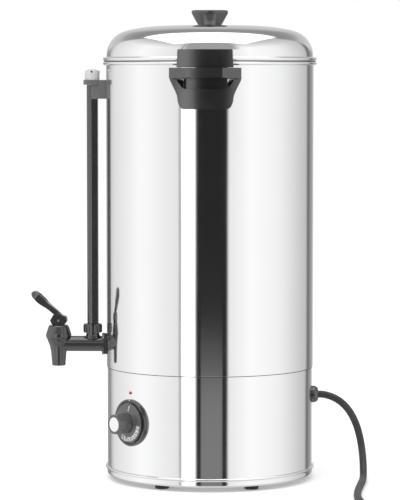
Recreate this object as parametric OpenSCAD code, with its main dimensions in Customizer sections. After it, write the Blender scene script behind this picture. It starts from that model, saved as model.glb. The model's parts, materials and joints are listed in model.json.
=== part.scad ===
// Hot water urn: a polished steel tank on a heated base, with a drip-free tap,
// a sight gauge, two side handles and a lift-off lid.
// Millimetres, +Z up. The origin is on the urn's axis at the table. The tap points
// to -Y, one handle to +X, the cord leaves at +Y and the thermostat faces between
// -Y and +X.

/* [Tank] */
// Outer radius of the tank
tank_r = 130; // [120:1:145]
// Thickness of the tank's sheet
tank_wall = 0.9; // [0.7:0.1:1.5]
// Height of the tank from its lower edge to the top of the rolled rim
tank_h = 382.6; // [340:1:420]
// Radius of the rolled rim's section
rim_bead = 2.4; // [1.8:0.1:3]
// Height of the tank's floor above its lower edge
floor_rise = 12; // [11:1:16]

/* [Base] */
// How much smaller in radius the base skirt is than the tank
skirt_step = 1; // [1:0.1:1.4]
// Height of the skirt between the base ring and the tank
skirt_h = 125; // [115:1:140]
// Thickness of the skirt's sheet
skirt_wall = 0.8; // [0.6:0.1:1.2]
// Height of the base ring without its bead
ring_band = 8; // [6:1:12]
// Height of the base ring's bead
ring_bead = 3; // [2:0.5:4]
// Diameter of a foot
foot_d = 18; // [14:1:20]
// Height of a foot
foot_h = 6; // [5:1:10]
// Number of feet
foot_count = 6; // [4:1:8]

/* [Lid] */
// How much smaller in radius the lid's wall is than the tank
lid_step = 0.7; // [0.6:0.1:2]
// Height of the lid from its lower edge to its crown
lid_h = 45.3; // [42:0.1:55]
// Radius of the crown at its middle
lid_crown = 1700; // [1200:50:2400]
// Thickness of the lid's sheet
lid_wall = 0.8; // [0.6:0.1:1.2]
// Radius of the lid's rolled edge
lid_bead = 2.7; // [2:0.1:3]
// Diameter of the lid's knob
knob_d = 46; // [38:1:56]
// Height of the lid's knob
knob_h = 18.2; // [14:0.1:24]

/* [Handles] */
// Reach of the grip from the tank's wall
grip_reach = 44; // [38:1:52]
// Width of the grip across its ends
grip_w = 87; // [78:1:96]
// Height of the grip
grip_h = 12.7; // [10:0.1:16]
// Thickness of the grip's front wall
grip_wall = 4.5; // [3:0.5:6]
// Width of the lower block
block_w = 66; // [60:1:70]
// Height of the handle
handle_h = 49.7; // [46:0.1:58]
// Width of the lid's lug above a handle
lug_w = 67; // [56:1:76]
// Height of the lid's lug
lug_h = 21.7; // [18:0.1:25]

/* [Tap] */
// Height of the tap's arm above the tank's lower edge
tap_rise = 26.8; // [26.8:0.1:40]
// Distance from the tank's wall to the valve's axis
tap_reach = 61.2; // [56:0.1:66]
// Outer diameter of the arm
arm_d = 19.6; // [18:0.1:22]
// Bore of the arm
arm_bore = 9; // [7:0.5:10]
// Bore of the spout
spout_bore = 11; // [8:0.5:12]
// Outer diameter of the spout at its tip
spout_d = 16.8; // [15.5:0.1:18]
// Length of the spout below the arm's axis
spout_drop = 27.7; // [24:0.1:36]
// Diameter of the valve's cap
cap_d = 32.4; // [31:0.1:36]
// Lift of the valve's stem
stem_lift = 4.2; // [3.8:0.1:4.6]
// Turn of the lever that lifts the stem all the way
lever_turn = 38; // [30:1:40]

/* [Gauge] */
// Distance from the tank's wall to the gauge's axis
gauge_off = 18; // [15:0.1:20]
// Depth of the gauge's guard
guard_d = 14.3; // [13:0.1:16]
// Outer diameter of the gauge's glass
glass_d = 10; // [8:0.5:10.5]
// Width of the guard's slot
guard_slot = 5; // [3:0.5:7]
// Diameter of the vent cap
vent_d = 18.6; // [16:0.1:20]

/* [Thermostat] */
// Height of the knob's axis above the table
dial_z = 80; // [70:1:84]
// Diameter of the bezel
bezel_d = 58; // [54:1:64]
// Diameter of the knob's disc
disc_d = 49; // [44:1:50]
// Width across the flats of the knob's grip
dial_grip_d = 23.4; // [20:0.1:26]
// Length of the knob's grip
dial_grip_l = 20.5; // [18:0.1:28]
// Height of the pilot lamp above the knob's axis
lamp_rise = 37; // [34:1:40]

/* [Cord] */
// Diameter of the cord
cord_d = 9; // [8:0.5:9.5]
// Height of the cord's gland above the table
gland_z = 106; // [100:1:112]
// Loops in the cord's coil
coil_turns = 4; // [4:1:4]
// Radius of the coil's outermost loop, at the cord's middle
coil_r = 59; // [57:1:63]

/* [Hidden] */
$fn = 72;
eps = 0.01;

// Clearances
fit = 0.05;          // radial clearance of a running fit
seat = 0.15;         // between pieces that are clamped together
rest = 0.3;          // between a moving piece and what it rests on

// Heights
band_top = foot_h + ring_band;
ring_top = band_top + ring_bead;
seam_z = ring_top + skirt_h;
rim_z = seam_z + tank_h;
floor_z = seam_z + floor_rise;
floor_t = 1;
skirt_r = tank_r - skirt_step;
tank_in = tank_r - tank_wall;
skirt_lap = 7;       // how far the skirt reaches up inside the tank

// Lid
lid_r = tank_r - lid_step;
lid_z = rim_z + rest;
lid_top = lid_z + lid_h;
dome_slopes = [0, 2.03, 11.5, 19.3, 90];   // where each arc of the dome starts, and where the last one ends
shoulder_r = (lid_r - lid_crown * sin(dome_slopes[1]) - 230 * (sin(dome_slopes[2]) - sin(dome_slopes[1]))
    - 76 * (sin(dome_slopes[3]) - sin(dome_slopes[2]))) / (1 - sin(dome_slopes[3]));
dome_radii = [lid_crown, 230, 76, shoulder_r];
function dome_centre(i) = i == 0 ? [0, lid_top - lid_crown] : dome_centre(i - 1)
    + (dome_radii[i - 1] - dome_radii[i]) * [sin(dome_slopes[i]), cos(dome_slopes[i])];
wall_top = dome_centre(3)[1];
spigot_r = lid_r - lid_wall - fit;
spigot_h = 12;
lid_bead_r = lid_r - lid_wall + lid_bead;

// Handles, in a frame whose X points outwards
grip_top = rim_z - 7.9;
grip_z = grip_top - grip_h;
handle_z = grip_top - handle_h;
grip_front = tank_r + grip_reach;
grip_bend = 150;     // radius of the grip's front
grip_end = 3.2;      // how far the grip's ends stand beyond the lower block's front
block_front = tank_r + 15.5;
band_front = tank_r + 8;
block_top = handle_z + 24.4;
lug_front = tank_r + 29;
lug_z = grip_top + 0.4;
handle_screw_y = 15;
handle_screw_z = handle_z + 12;

// Tap
tap_z = seam_z + tap_rise;
valve_y = -(tank_r + tap_reach);
gauge_y = -(tank_r + gauge_off);
spout_z = tap_z - spout_drop;
flange_t = 2.8;
gasket_t = 3;
chamber_d = 18;
seat_z = tap_z - 4.7;
body_top = tap_z + 14.3;
cap_z = tap_z + 5.8;
cap_top = tap_z + 23.4;
stem_d = 6;
cam_drop = 6;        // from the lever's pin down to its flat heel
pin_z = cap_top + rest + cam_drop;
pin_d = 3;
lever_tilt = 40.3;

// Gauge
neck_d = 16.4;
neck_top = tap_z + 18.3;
gauge_nut_z = neck_top - 3.8;
gauge_nut_h = 10.8;
guard_z = gauge_nut_z + gauge_nut_h;
flange_top = rim_z - 23.1;
flange_z = flange_top - 5.9;
bracket_z = flange_top - 23.5;
glass_z = neck_top - 9;
glass_top = flange_top + 4;

// Thermostat, in a frame whose Z points outwards
dial_az = -47;
bezel_front = skirt_r + 2;
dish_d = disc_d + 2.4;
disc_back = bezel_front - 0.7;
disc_t = 4.5;
dial_front = disc_back + disc_t + dial_grip_l;
shaft_d = 6;
body_front = skirt_r - 5;

// Cord
gland_y = skirt_r + 8;
cord_rest = cord_d / 2 + 0.1;
coil_c = [350, 150];
coil_pitch = cord_d + 0.6;
coil_layer = cord_d + 0.5;
plug_z = 18.6;

// The free cord's route, from the gland to the coil
cord_route = [
    [0, 137, 106], [0, 145, 105.4], [0, 155, 102.4], [0, 164.5, 97], [0, 173, 89],
    [0, 180, 78.6], [0, 185.6, 66], [0, 189.4, 52.6], [1.4, 191.8, 39.6], [5.8, 193.2, 27.8],
    [13.4, 193.8, 17.6], [24.4, 193.8, 9.8], [38, 193.2, 5.7], [54, 192, 4.6], [75, 190.2, 4.6],
    [97, 188.2, 4.6], [120, 186.2, 4.6], [143, 184.8, 4.6], [166, 184, 4.6], [190, 184.6, 4.6],
    [214, 187, 4.6], [238, 191, 4.6], [262, 196, 4.6], [286, 201.4, 4.6], [310, 206, 4.6],
    [330, 208.6, 4.6], [341, 209, 4.6], [350, 209, 4.6]
];

// ---------- helpers ----------

function unit(v) = v / norm(v);

// Direction of a path at each of its points
function headings(path) = let(n = len(path)) [
    for (i = [0 : n - 1])
        unit(path[min(i + 1, n - 1)] - path[max(i - 1, 0)])
];

// A side vector carried along the path without twist
function carried(dirs, side, i = 0) =
    i == len(dirs) ? [] :
    let(v = unit(side - (side * dirs[i]) * dirs[i]))
    concat([v], carried(dirs, v, i + 1));

// A round tube swept along a path; first and last say which way its ends face
module tube_along(path, d, sides, first, last, side = [1, 0, 0]) {
    n = len(path);
    mid = headings(path);
    dirs = [for (i = [0 : n - 1]) i == 0 ? first : i == n - 1 ? last : mid[i]];
    u = carried(dirs, side);
    rings = [for (i = [0 : n - 1]) let(w = cross(dirs[i], u[i]))
        for (k = [0 : sides - 1]) let(a = 360 * (k + 0.5) / sides)
            path[i] + d / 2 * (cos(a) * u[i] + sin(a) * w)];
    walls = [for (i = [0 : n - 2]) for (k = [0 : sides - 1])
        let(a = i * sides + k, b = i * sides + (k + 1) % sides)
        each [[a, b, a + sides], [b, b + sides, a + sides]]];
    caps = [for (k = [1 : sides - 2])
        each [[0, k + 1, k], [(n - 1) * sides, (n - 1) * sides + k, (n - 1) * sides + k + 1]]];
    polyhedron(points = rings, faces = [for (f = concat(walls, caps)) [f[0], f[2], f[1]]]);
}

// Points of a corner rounded by radius r, between its two neighbours
function corner(a, p, b, r, steps = 5) =
    r == 0 ? [p] :
    let(u = unit(a - p), v = unit(b - p),
        half = acos(max(-1, min(1, u * v))) / 2,
        c = p + unit(u + v) * r / sin(half),
        from = p + u * r / tan(half), to = p + v * r / tan(half),
        a0 = atan2(from[1] - c[1], from[0] - c[0]),
        turn = atan2(to[1] - c[1], to[0] - c[0]) - a0,
        sweep = turn > 180 ? turn - 360 : turn < -180 ? turn + 360 : turn)
    [for (i = [0 : steps]) let(t = a0 + sweep * i / steps) c + r * [cos(t), sin(t)]];

// A polygon whose corners are [x, y, radius]
module rounded(corners, steps = 5) {
    n = len(corners);
    polygon([for (i = [0 : n - 1])
        let(p = corners[i], a = corners[(i + n - 1) % n], b = corners[(i + 1) % n])
        each corner([a[0], a[1]], [p[0], p[1]], [b[0], b[1]], p[2], steps)]);
}

// The same corners mirrored in the Y axis
function both_sides(half) = concat(half,
    [for (i = [len(half) - 1 : -1 : 0]) [-half[i][0], half[i][1], half[i][2]]]);

module ring(r_out, r_in, z0, z1) {
    translate([0, 0, z0]) difference() {
        cylinder(r = r_out, h = z1 - z0);
        translate([0, 0, -1]) cylinder(r = r_in, h = z1 - z0 + 2);
    }
}

module around(count, start = 0) {
    for (i = [0 : count - 1]) rotate([0, 0, start + 360 * i / count]) children();
}

// Local Z points outwards from the urn's axis at this azimuth and height
module facing(az, z) {
    rotate([0, 0, az]) translate([0, 0, z]) rotate([0, 90, 0]) children();
}

// A rod along X, Y or Z between two places on that axis
module rod_x(d, x0, x1) { translate([x0, 0, 0]) rotate([0, 90, 0]) cylinder(d = d, h = x1 - x0); }
module rod_y(d, y0, y1) { translate([0, y0, 0]) rotate([-90, 0, 0]) cylinder(d = d, h = y1 - y0); }

module hexagon(across, h) { cylinder(d = across / cos(30), h = h, $fn = 6); }

// A pan-head screw: head on top of z = 0, shank below
module pan_screw(d, length, head_d, head_h) {
    translate([0, 0, -length]) cylinder(d = d, h = length + eps);
    rotate_extrude() intersection() {
        square([head_d / 2, head_h]);
        translate([0, head_h - head_d]) circle(r = head_d);
    }
}

// ---------- tank ----------

module tank_section() {
    translate([tank_in, seam_z]) square([tank_wall, tank_h - rim_bead]);
    translate([tank_in + rim_bead, rim_z - rim_bead]) circle(r = rim_bead);
}

module handle_screw_places() {
    for (side = [0, 180]) rotate([0, 0, side]) for (y = [-1, 1] * handle_screw_y)
        translate([0, y, handle_screw_z]) children();
}

module tank_shell() {
    color("gainsboro") difference() {
        rotate_extrude() tank_section();
        translate([0, 0, tap_z]) rod_y(tap_thread + 0.4, -tank_r - 5, -tank_r + 30);
        translate([0, 0, bracket_screw_z]) rod_y(4.4, -tank_r - 5, -tank_r + 30);
        handle_screw_places() rod_x(5.4, tank_r - 30, tank_r + 5);
    }
}

// The floor's edge turns down to just above the skirt's neck
module tank_bottom() {
    r = tank_in - fit;
    edge_z = seam_z + skirt_lap + rest;
    color("silver") rotate_extrude() rounded([
        [0, floor_z, 0], [r, floor_z, 1.6], [r, edge_z, 0], [r - floor_t, edge_z, 0],
        [r - floor_t, floor_z - floor_t, 0.6], [0, floor_z - floor_t, 0]
    ], 4);
}

// ---------- base ----------

module base_skirt() {
    color("gainsboro") difference() {
        ring(skirt_r, skirt_r - skirt_wall, ring_groove_z, seam_z + skirt_lap);
        facing(dial_az, dial_z) translate([0, 0, skirt_r - 20]) cylinder(d = 10.4, h = 40);
        facing(dial_az, dial_z + lamp_rise) translate([0, 0, skirt_r - 20]) cylinder(d = lamp_d + 0.3, h = 40);
        facing(90, gland_z) translate([0, 0, skirt_r - 20]) cylinder(d = gland_thread + 0.3, h = 40);
    }
}

ring_r = skirt_r + 0.6;
ring_groove_z = band_top - 1;
ring_lip = 124;

// The bead stands out above a band that rounds in at its lower edge
module base_ring() {
    lower = 3;
    color("silver") difference() {
        rotate_extrude() difference() {
            union() {
                translate([skirt_r - 4, foot_h]) square([4.6 - lower, ring_top - foot_h]);
                translate([skirt_r - 4, foot_h + lower]) square([4.6, ring_band - lower]);
                intersection() {
                    translate([ring_r - lower, foot_h + lower]) circle(r = lower);
                    translate([skirt_r - 4, 0]) square(20);
                }
                translate([skirt_r - 4, band_top]) square([5, ring_bead]);
                translate([ring_r + 0.4, band_top + ring_bead / 2]) circle(d = ring_bead);
                translate([skirt_r - 14, foot_h + 1.7]) square([11, 2.4]);
            }
            translate([skirt_r - skirt_wall - 0.1, ring_groove_z]) square([skirt_wall + 0.2, 20]);
        }
        around(3) translate([skirt_r - 9, 0, 0]) cylinder(d = 3.4, h = 30);
    }
}

module base_plate() {
    color("silver") difference() {
        translate([0, 0, foot_h + 0.2]) cylinder(r = skirt_r - 4.3, h = 1.3);
        around(3) translate([skirt_r - 9, 0, -1]) cylinder(d = 4.4, h = 20);
        foot_places() translate([0, 0, -1]) cylinder(d = 4.4, h = 20);
        translate([cutout_x, cutout_y, -1]) cylinder(d = 10.4, h = 20);
        around(8) for (r = [30, 40]) translate([r, 0, -1]) cylinder(d = 5, h = 20);
    }
}

foot_circle = skirt_r - 19;

module foot_places() { around(foot_count, 30) translate([foot_circle, 0, 0]) children(); }

module base_screws() {
    color("dimgray") around(3) translate([skirt_r - 9, 0, foot_h]) mirror([0, 0, 1])
        pan_screw(3.4 - 2 * fit, 5, 7, 2);
}

module rubber_feet() {
    color("#202020") foot_places() difference() {
        rotate_extrude() {
            square([foot_d / 2 - 1.5, foot_h]);
            translate([0, 1.2]) square([foot_d / 2 - 0.3, foot_h - 1.2]);
            translate([foot_d / 2 - 1.5, 1.2]) circle(r = 1.2);
        }
        translate([0, 0, -1]) cylinder(d = 4.4, h = 20);
        translate([0, 0, -1]) cylinder(d = 9.4, h = 4);
    }
}

module foot_screws() {
    color("dimgray") foot_places() {
        translate([0, 0, 3]) mirror([0, 0, 1]) pan_screw(4, foot_h + 3, 8, 2);
        translate([0, 0, foot_h + 1.5]) difference() {
            hexagon(7, 3.2);
            translate([0, 0, -1]) cylinder(d = 4, h = 6);
        }
    }
}

// ---------- heater ----------

spreader_r = 80;
spreader_t = 6;
spreader_z = floor_z - floor_t - spreader_t;
element_d = 8.5;
element_r = 62;
element_z = spreader_z - element_d / 2;
element_gap = 40;    // degrees left open between the element's ends
element_az = 150;
cold_end = 22;

module heat_spreader() {
    color("lightgray") translate([0, 0, spreader_z]) cylinder(r = spreader_r, h = spreader_t);
}

// A ring with its two ends turned down, each with an elbow and a connecting pin
module heating_element() {
    color("slategray") rotate([0, 0, element_az + element_gap / 2]) {
        rotate_extrude(angle = 360 - element_gap)
            translate([element_r, element_z]) circle(d = element_d);
        for (a = [0, -element_gap]) rotate([0, 0, a]) translate([element_r, 0, element_z]) {
            translate([0, 0, -cold_end]) cylinder(d = element_d + 1.4, h = cold_end + element_d / 2 - 0.5);
            translate([0, 0, -cold_end - 7]) cylinder(d = 3, h = 8);
        }
    }
}

// ---------- handles ----------

// Plan of the grip: ends near the tank, slanted cheeks and a bowed front
module grip_plan(inset = 0) {
    crease = grip_front - 3;
    end_x = block_front + grip_end;
    intersection() {
        rounded([
            [tank_r - 12, grip_w / 2 - 3 - inset, 0],
            [end_x - 5, grip_w / 2 - inset, 2],
            [end_x, grip_w / 2 - inset, 2.5],
            [crease - inset, grip_w * 0.26 - inset * 0.6, 4],
            [crease + 12, grip_w * 0.26 - 8, 0],
            [crease + 12, -grip_w * 0.26 + 8, 0],
            [crease - inset, -grip_w * 0.26 + inset * 0.6, 4],
            [end_x, -grip_w / 2 + inset, 2.5],
            [end_x - 5, -grip_w / 2 + inset, 2],
            [tank_r - 12, -grip_w / 2 + 3 + inset, 0]
        ]);
        translate([grip_front - grip_bend, 0]) circle(r = grip_bend - inset, $fn = 360);
    }
}

// Front view of the struts and the lower block, as [across, height, radius]
module strut_face() {
    h = grip_w / 2;
    b = block_w / 2;
    z = handle_z;
    rounded(both_sides([
        [b - 3.5, z, 6], [b, z + 8, 8], [b + 1.2, z + 16.5, 12], [b + 4.6, grip_z - 12.8, 14],
        [h - 1, grip_z - 3, 4], [h, grip_z + 1, 0]
    ]), 4);
}

// The see-through gap between a strut and the middle band
module strut_gap() {
    b = block_w / 2;
    rounded([
        [b - 6.8, grip_z - 0.8, 0.8], [b + 1.8, grip_z - 0.8, 1], [b + 1, grip_z - 3.2, 1],
        [b - 4.8, block_top + 1.2, 1], [b - 6.8, block_top + 0.8, 0.8]
    ], 2);
}

// Turns a front view so that it faces outwards along X
module front_view(x0, x1) {
    translate([x0, 0, 0]) rotate([90, 0, 90]) linear_extrude(x1 - x0) children();
}

module handle() {
    color("#1c1c1c") difference() {
        union() {
            translate([0, 0, grip_z]) linear_extrude(grip_h) grip_plan();
            intersection() {
                front_view(tank_r - 20, tank_r + 30) strut_face();
                translate([0, 0, handle_z - 5]) cylinder(r = block_front, h = handle_h, $fn = 360);
            }
            intersection() {
                translate([tank_r - 20, -block_w / 2, block_top - 2.4])
                    cube([60, block_w, 2.4]);
                translate([0, 0, handle_z]) cylinder(r = block_front + 0.8, h = handle_h, $fn = 360);
            }
        }
        // hollow behind the grip's front wall, open below
        translate([0, 0, grip_z - 1]) linear_extrude(grip_h - 2.2) difference() {
            grip_plan(grip_wall);
            circle(r = band_front, $fn = 360);
        }
        // recess between the lower block and the grip
        difference() {
            translate([tank_r, -block_w / 2 + 7, block_top]) cube([60, block_w - 14, grip_z - block_top + 1]);
            cylinder(r = band_front, h = rim_z, $fn = 360);
        }
        for (s = [0, 1]) mirror([0, s, 0]) front_view(tank_r - 20, block_front + 1) strut_gap();
        cylinder(r = tank_r + seat, h = rim_z, $fn = 360);
        for (y = [-1, 1] * handle_screw_y) translate([0, y, handle_screw_z])
            rod_x(5 + 0.2, tank_r - 5, block_front - 2.5);
    }
}

module handle_right() { handle(); }
module handle_left() { rotate([0, 0, 180]) handle(); }

module handle_screws() {
    seat_x = sqrt(pow(tank_in, 2) - pow(handle_screw_y + 4.5, 2));
    color("silver") handle_screw_places() translate([seat_x - 0.2, 0, 0]) rotate([0, -90, 0])
        pan_screw(5, block_front - 3 - seat_x, 9, 3);
}

// ---------- lid ----------

// Sheet along the crown, the rounding and the wall, which meet on their common normals
// Half of the lid's section, as points from the crown's middle down to the bead
function lid_side(t) = [
    for (k = [0 : 3]) for (i = [(k == 0 ? 0 : 1) : [3, 5, 3, 12][k]])
        let(a = dome_slopes[k] + (dome_slopes[k + 1] - dome_slopes[k]) * i / [3, 5, 3, 12][k])
            dome_centre(k) + (dome_radii[k] - t) * [sin(a), cos(a)]
];

// The rolled edge, from the wall's outer face round to its inner face
function lid_edge() = let(a0 = acos((lid_wall - lid_bead) / lid_bead), steps = 20)
    [for (i = [0 : steps]) let(a = a0 - (a0 + 180) * i / steps)
        [lid_bead_r, lid_z + lid_bead] + lid_bead * [cos(a), sin(a)]];

function backwards(points) = [for (i = [len(points) - 1 : -1 : 0]) points[i]];

module lid_shell() {
    color("gainsboro") difference() {
        rotate_extrude() polygon(concat(lid_side(0), lid_edge(), backwards(lid_side(lid_wall))));
        translate([0, 0, lid_top - 10]) cylinder(d = 5.4, h = 20);
        rivet_places() rod_x(rivet_d + 0.2, lid_r - 8, lid_r + 5);
    }
}

// A strip rolled into a ring that keeps the lid in the tank's mouth
module lid_spigot() {
    top = rivet_z - 4.5;
    color("silver") difference() {
        rotate_extrude() rounded([
            [spigot_r - lid_wall, lid_z - spigot_h, 0], [spigot_r, lid_z - spigot_h + 1.5, 0],
            [spigot_r, top, 0], [spigot_r - lid_wall, top, 0]
        ], 2);
        rivet_places() rod_x(rivet_d + 0.2, lid_r - 8, lid_r + 5);
    }
}

module lid_knob() {
    r = knob_d / 2;
    z = lid_top + seat;
    color("#1c1c1c") difference() {
        rotate_extrude() rounded([
            [0, z, 0], [r * 0.64, z, 0], [r * 0.655, z + 0.5, 0.5], [r * 0.955, z + knob_h * 0.7, 9],
            [r, z + knob_h * 0.84, 2.4], [r * 0.97, z + knob_h, 1.8],
            [r * 0.78, z + knob_h, 2], [r * 0.7, z + knob_h - 0.9, 2], [0, z + knob_h - 0.9, 0]
        ], 4);
        translate([0, 0, z - 3]) cylinder(d = 5 + 2 * fit, h = 3 + knob_h * 0.75);
    }
}

module lid_screw() {
    z = lid_top - lid_wall - 0.35;
    color("silver") translate([0, 0, z]) {
        mirror([0, 0, 1]) pan_screw(5, knob_h * 0.7, 9, 3);
        mirror([0, 0, 1]) cylinder(d = 16, h = 1.2);
    }
}

lug_top = lug_z + lug_h;
rivet_d = 4;
rivet_z = lug_top - 5;

module rivet_places() {
    for (side = [0, 180]) rotate([0, 0, side]) for (a = [-8, 8])
        rotate([0, 0, a]) translate([0, 0, rivet_z]) children();
}

// Clamped to the lid's wall above the beads, and hanging in front of them
module lug() {
    clear_r = max(tank_in + 2 * rim_bead, lid_bead_r + lid_bead) + 0.5;
    color("#1c1c1c") difference() {
        intersection() {
            translate([0, 0, lug_z]) linear_extrude(lug_h) intersection() {
                rounded([
                    [tank_r - 20, lug_w / 2 + 0.6, 0], [lug_front - 1.2, lug_w / 2 + 0.6, 3],
                    [lug_front + 3, 0, 0], [lug_front - 1.2, -lug_w / 2 - 0.6, 3],
                    [tank_r - 20, -lug_w / 2 - 0.6, 0]
                ]);
                circle(r = lug_front, $fn = 360);
            }
            front_view(tank_r - 20, lug_front + 5) rounded([
                [lug_w / 2 + 0.6, lug_z, 0.8], [lug_w / 2 - 0.6, lug_top, 1.2],
                [-lug_w / 2 + 0.6, lug_top, 1.2], [-lug_w / 2 - 0.6, lug_z, 0.8]
            ], 3);
        }
        translate([0, 0, lug_z - 5]) cylinder(r = clear_r, h = lid_z + 2 * lid_bead + 0.5 - lug_z + 5, $fn = 360);
        cylinder(r = lid_r + seat, h = lid_top + 50, $fn = 360);
        for (a = [-8, 8]) rotate([0, 0, a]) translate([0, 0, rivet_z])
            rod_x(rivet_d + 2 * fit, lid_r - 5, lug_front - 14);
    }
}

module lid_lug_right() { lug(); }
module lid_lug_left() { rotate([0, 0, 180]) lug(); }

module lug_rivets() {
    color("silver") rivet_places() {
        rod_x(rivet_d, lid_r - 3, lug_front - 14.5);
        rod_x(7, lid_r - 3.6, lid_r - 2.2);
    }
}

// ---------- tap ----------

tap_thread = 18.4;

module at_valve() { translate([0, valve_y, 0]) children(); }
module at_gauge() { translate([0, gauge_y, 0]) children(); }

// Outside of the valve's body: a bowl that narrows to the spout
module valve_outline() {
    r0 = arm_d / 2 + 0.2;
    r1 = cap_d / 2 - 2;
    rounded([
        [0, spout_z, 0], [spout_d / 2, spout_z, 0.8], [r0 - 0.3, tap_z - 11, 20],
        [r0 + 1.2, tap_z - 3, 10], [r1, cap_z - 1.2, 2], [r1, cap_z - 0.2, 0],
        [12.4, cap_z - 0.2, 0], [12.4, body_top, 0], [0, body_top, 0]
    ], 4);
}

module tap_body() {
    flange_y = -tank_r - gasket_t - flange_t;
    color("#1c1c1c") difference() {
        union() {
            at_valve() rotate_extrude() valve_outline();
            translate([0, 0, tap_z]) rod_y(arm_d, valve_y, -tank_r - gasket_t);
            translate([0, 0, tap_z]) rod_y(27.6, flange_y, flange_y + flange_t);
            translate([0, 0, tap_z]) rod_y(tap_thread, -tank_r - gasket_t - 1, -tank_r + 14);
            at_gauge() {
                translate([0, 0, tap_z]) cylinder(d = neck_d, h = neck_top - tap_z);
                translate([0, 0, tap_z + arm_d / 2 - 2.5])
                    cylinder(d1 = neck_d + 4, d2 = neck_d, h = 5);
            }
        }
        translate([0, 0, tap_z]) rod_y(arm_bore, valve_y, -tank_r + 20);
        at_valve() translate([0, 0, seat_z]) cylinder(d = chamber_d, h = 40);
        at_valve() translate([0, 0, spout_z - 5]) cylinder(d = spout_bore, h = 40);
        // room for the cap, down to the body's shoulder
        at_valve() ring(cap_d / 2 + 0.4, 12.4, cap_z - 0.2, cap_top);
        at_gauge() translate([0, 0, tap_z]) cylinder(d = 6, h = 40);
        at_gauge() translate([0, 0, glass_z]) cylinder(d = glass_d + 0.4, h = 40);
    }
}

module tap_gasket() {
    color("#2b2b2b") difference() {
        translate([0, 0, tap_z]) rod_y(26.4, -tank_r - gasket_t + seat / 2, -tank_r + 4);
        translate([0, 0, tap_z]) rod_y(tap_thread + 2 * fit, -tank_r - 10, -tank_r + 20);
        cylinder(r = tank_r + seat, h = rim_z, $fn = 360);
    }
}

module tap_lock_nut() {
    color("silver") difference() {
        translate([0, 0, tap_z]) {
            translate([0, -tank_in + 1.4, 0]) rotate([-90, 0, 0]) hexagon(26, 6);
            rod_y(28, -tank_in - 4, -tank_in + 1.5);
        }
        translate([0, 0, tap_z]) rod_y(tap_thread + 2 * fit, -tank_r - 10, -tank_r + 40);
        difference() {
            cylinder(r = tank_r + 50, h = rim_z, $fn = 360);
            translate([0, 0, -1]) cylinder(r = tank_in - seat, h = rim_z + 2, $fn = 360);
        }
    }
}

module tap_cap() {
    r = cap_d / 2;
    color("#1c1c1c") at_valve() difference() {
        rotate_extrude() rounded([
            [0, cap_z, 0], [r - 1.4, cap_z, 0.8], [r, cap_z + 3.6, 2.5], [r - 0.4, cap_z + 7, 3],
            [r - 3.4, cap_top - 1.4, 2], [r - 4.8, cap_top, 0.6], [0, cap_top, 0]
        ], 3);
        translate([0, 0, cap_z - 1]) cylinder(r = 12.4 + fit, h = body_top - cap_z + 1.2);
        translate([0, 0, cap_z]) cylinder(d = chamber_d - 1, h = cap_top - cap_z - 3.4);
        cylinder(d = stem_d + 2 * fit, h = rim_z);
    }
}

cup_h = 7;
cup_z = seat_z + 0.2;

module seat_cup() {
    color("whitesmoke") at_valve() difference() {
        rotate_extrude() rounded([
            [0, cup_z, 0], [spout_bore / 2 + 0.9, cup_z, 0.6], [7.6, cup_z + 2.4, 0.8],
            [7.6, cup_z + cup_h, 0.6], [0, cup_z + cup_h, 0]
        ], 3);
        translate([0, 0, cup_z + 2]) cylinder(d = stem_d + 2 * fit, h = 20);
    }
}

// The stem ends in a flat tongue that carries the lever's pin
module tap_stem() {
    tongue_z = cap_top - 6;
    color("goldenrod") at_valve() difference() {
        union() {
            translate([0, 0, cup_z + 2.1]) cylinder(d = stem_d, h = tongue_z - cup_z - 2);
            intersection() {
                translate([0, 0, tongue_z - 0.1]) cylinder(d = stem_d, h = pin_z - tongue_z);
                translate([-2.4, -5, tongue_z - 1]) cube([4.8, 10, 20]);
            }
            translate([0, 0, pin_z]) rod_x(stem_d, -2.4, 2.4);
        }
        translate([0, 0, pin_z]) rod_x(pin_d + 2 * fit, -10, 10);
    }
}

module tap_spring() {
    turns = 5;
    steps = 12;
    z0 = cup_z + cup_h + 0.9;
    z1 = cap_top - 3.4 - 0.9;
    r = 5.2;
    path = [for (i = [0 : turns * steps]) let(a = 360 * i / steps)
        [r * cos(a), valve_y + r * sin(a), z0 + (z1 - z0) * i / (turns * steps)]];
    color("silver") tube_along(path, 1.2, 6, [0, 1, 0], [0, 1, 0], [0, 0, 1]);
}

// Side view of the lever in its own frame: X along the arm, Y square to it
module lever_side() {
    rounded([
        [-5, 2.2, 1], [8, 2, 10], [20, 2.2, 20], [33, 0.5, 14], [45, 1.8, 6], [49.4, 5.4, 2.2],
        [46, 9, 3], [35, 10.4, 16], [23, 8.4, 20], [8, 8.7, 20], [-3, 7.8, 2.5]
    ], 4);
}

// Plan of the lever: a narrow root that widens to a round paddle
module lever_plan() {
    rounded([
        [-6, 6.5, 1], [10, 5.4, 20], [26, 9.6, 20], [40, 11, 14], [50, 8.6, 9], [50, -8.6, 9],
        [40, -11, 14], [26, -9.6, 20], [10, -5.4, 20], [-6, -6.5, 1]
    ], 5);
}

module knuckle_side() {
    rounded([
        [-7.5, -cam_drop, 0.8], [7.2, -cam_drop, 0.8], [11, -1.2, 1], [10, 4.6, 1.5],
        [4, 6.5, 2], [-6, 7.5, 2], [-8, 4.2, 1], [-10.4, 0, 0.8]
    ], 3);
}

knuckle_w = 15;
fork_w = 5.4;

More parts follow.
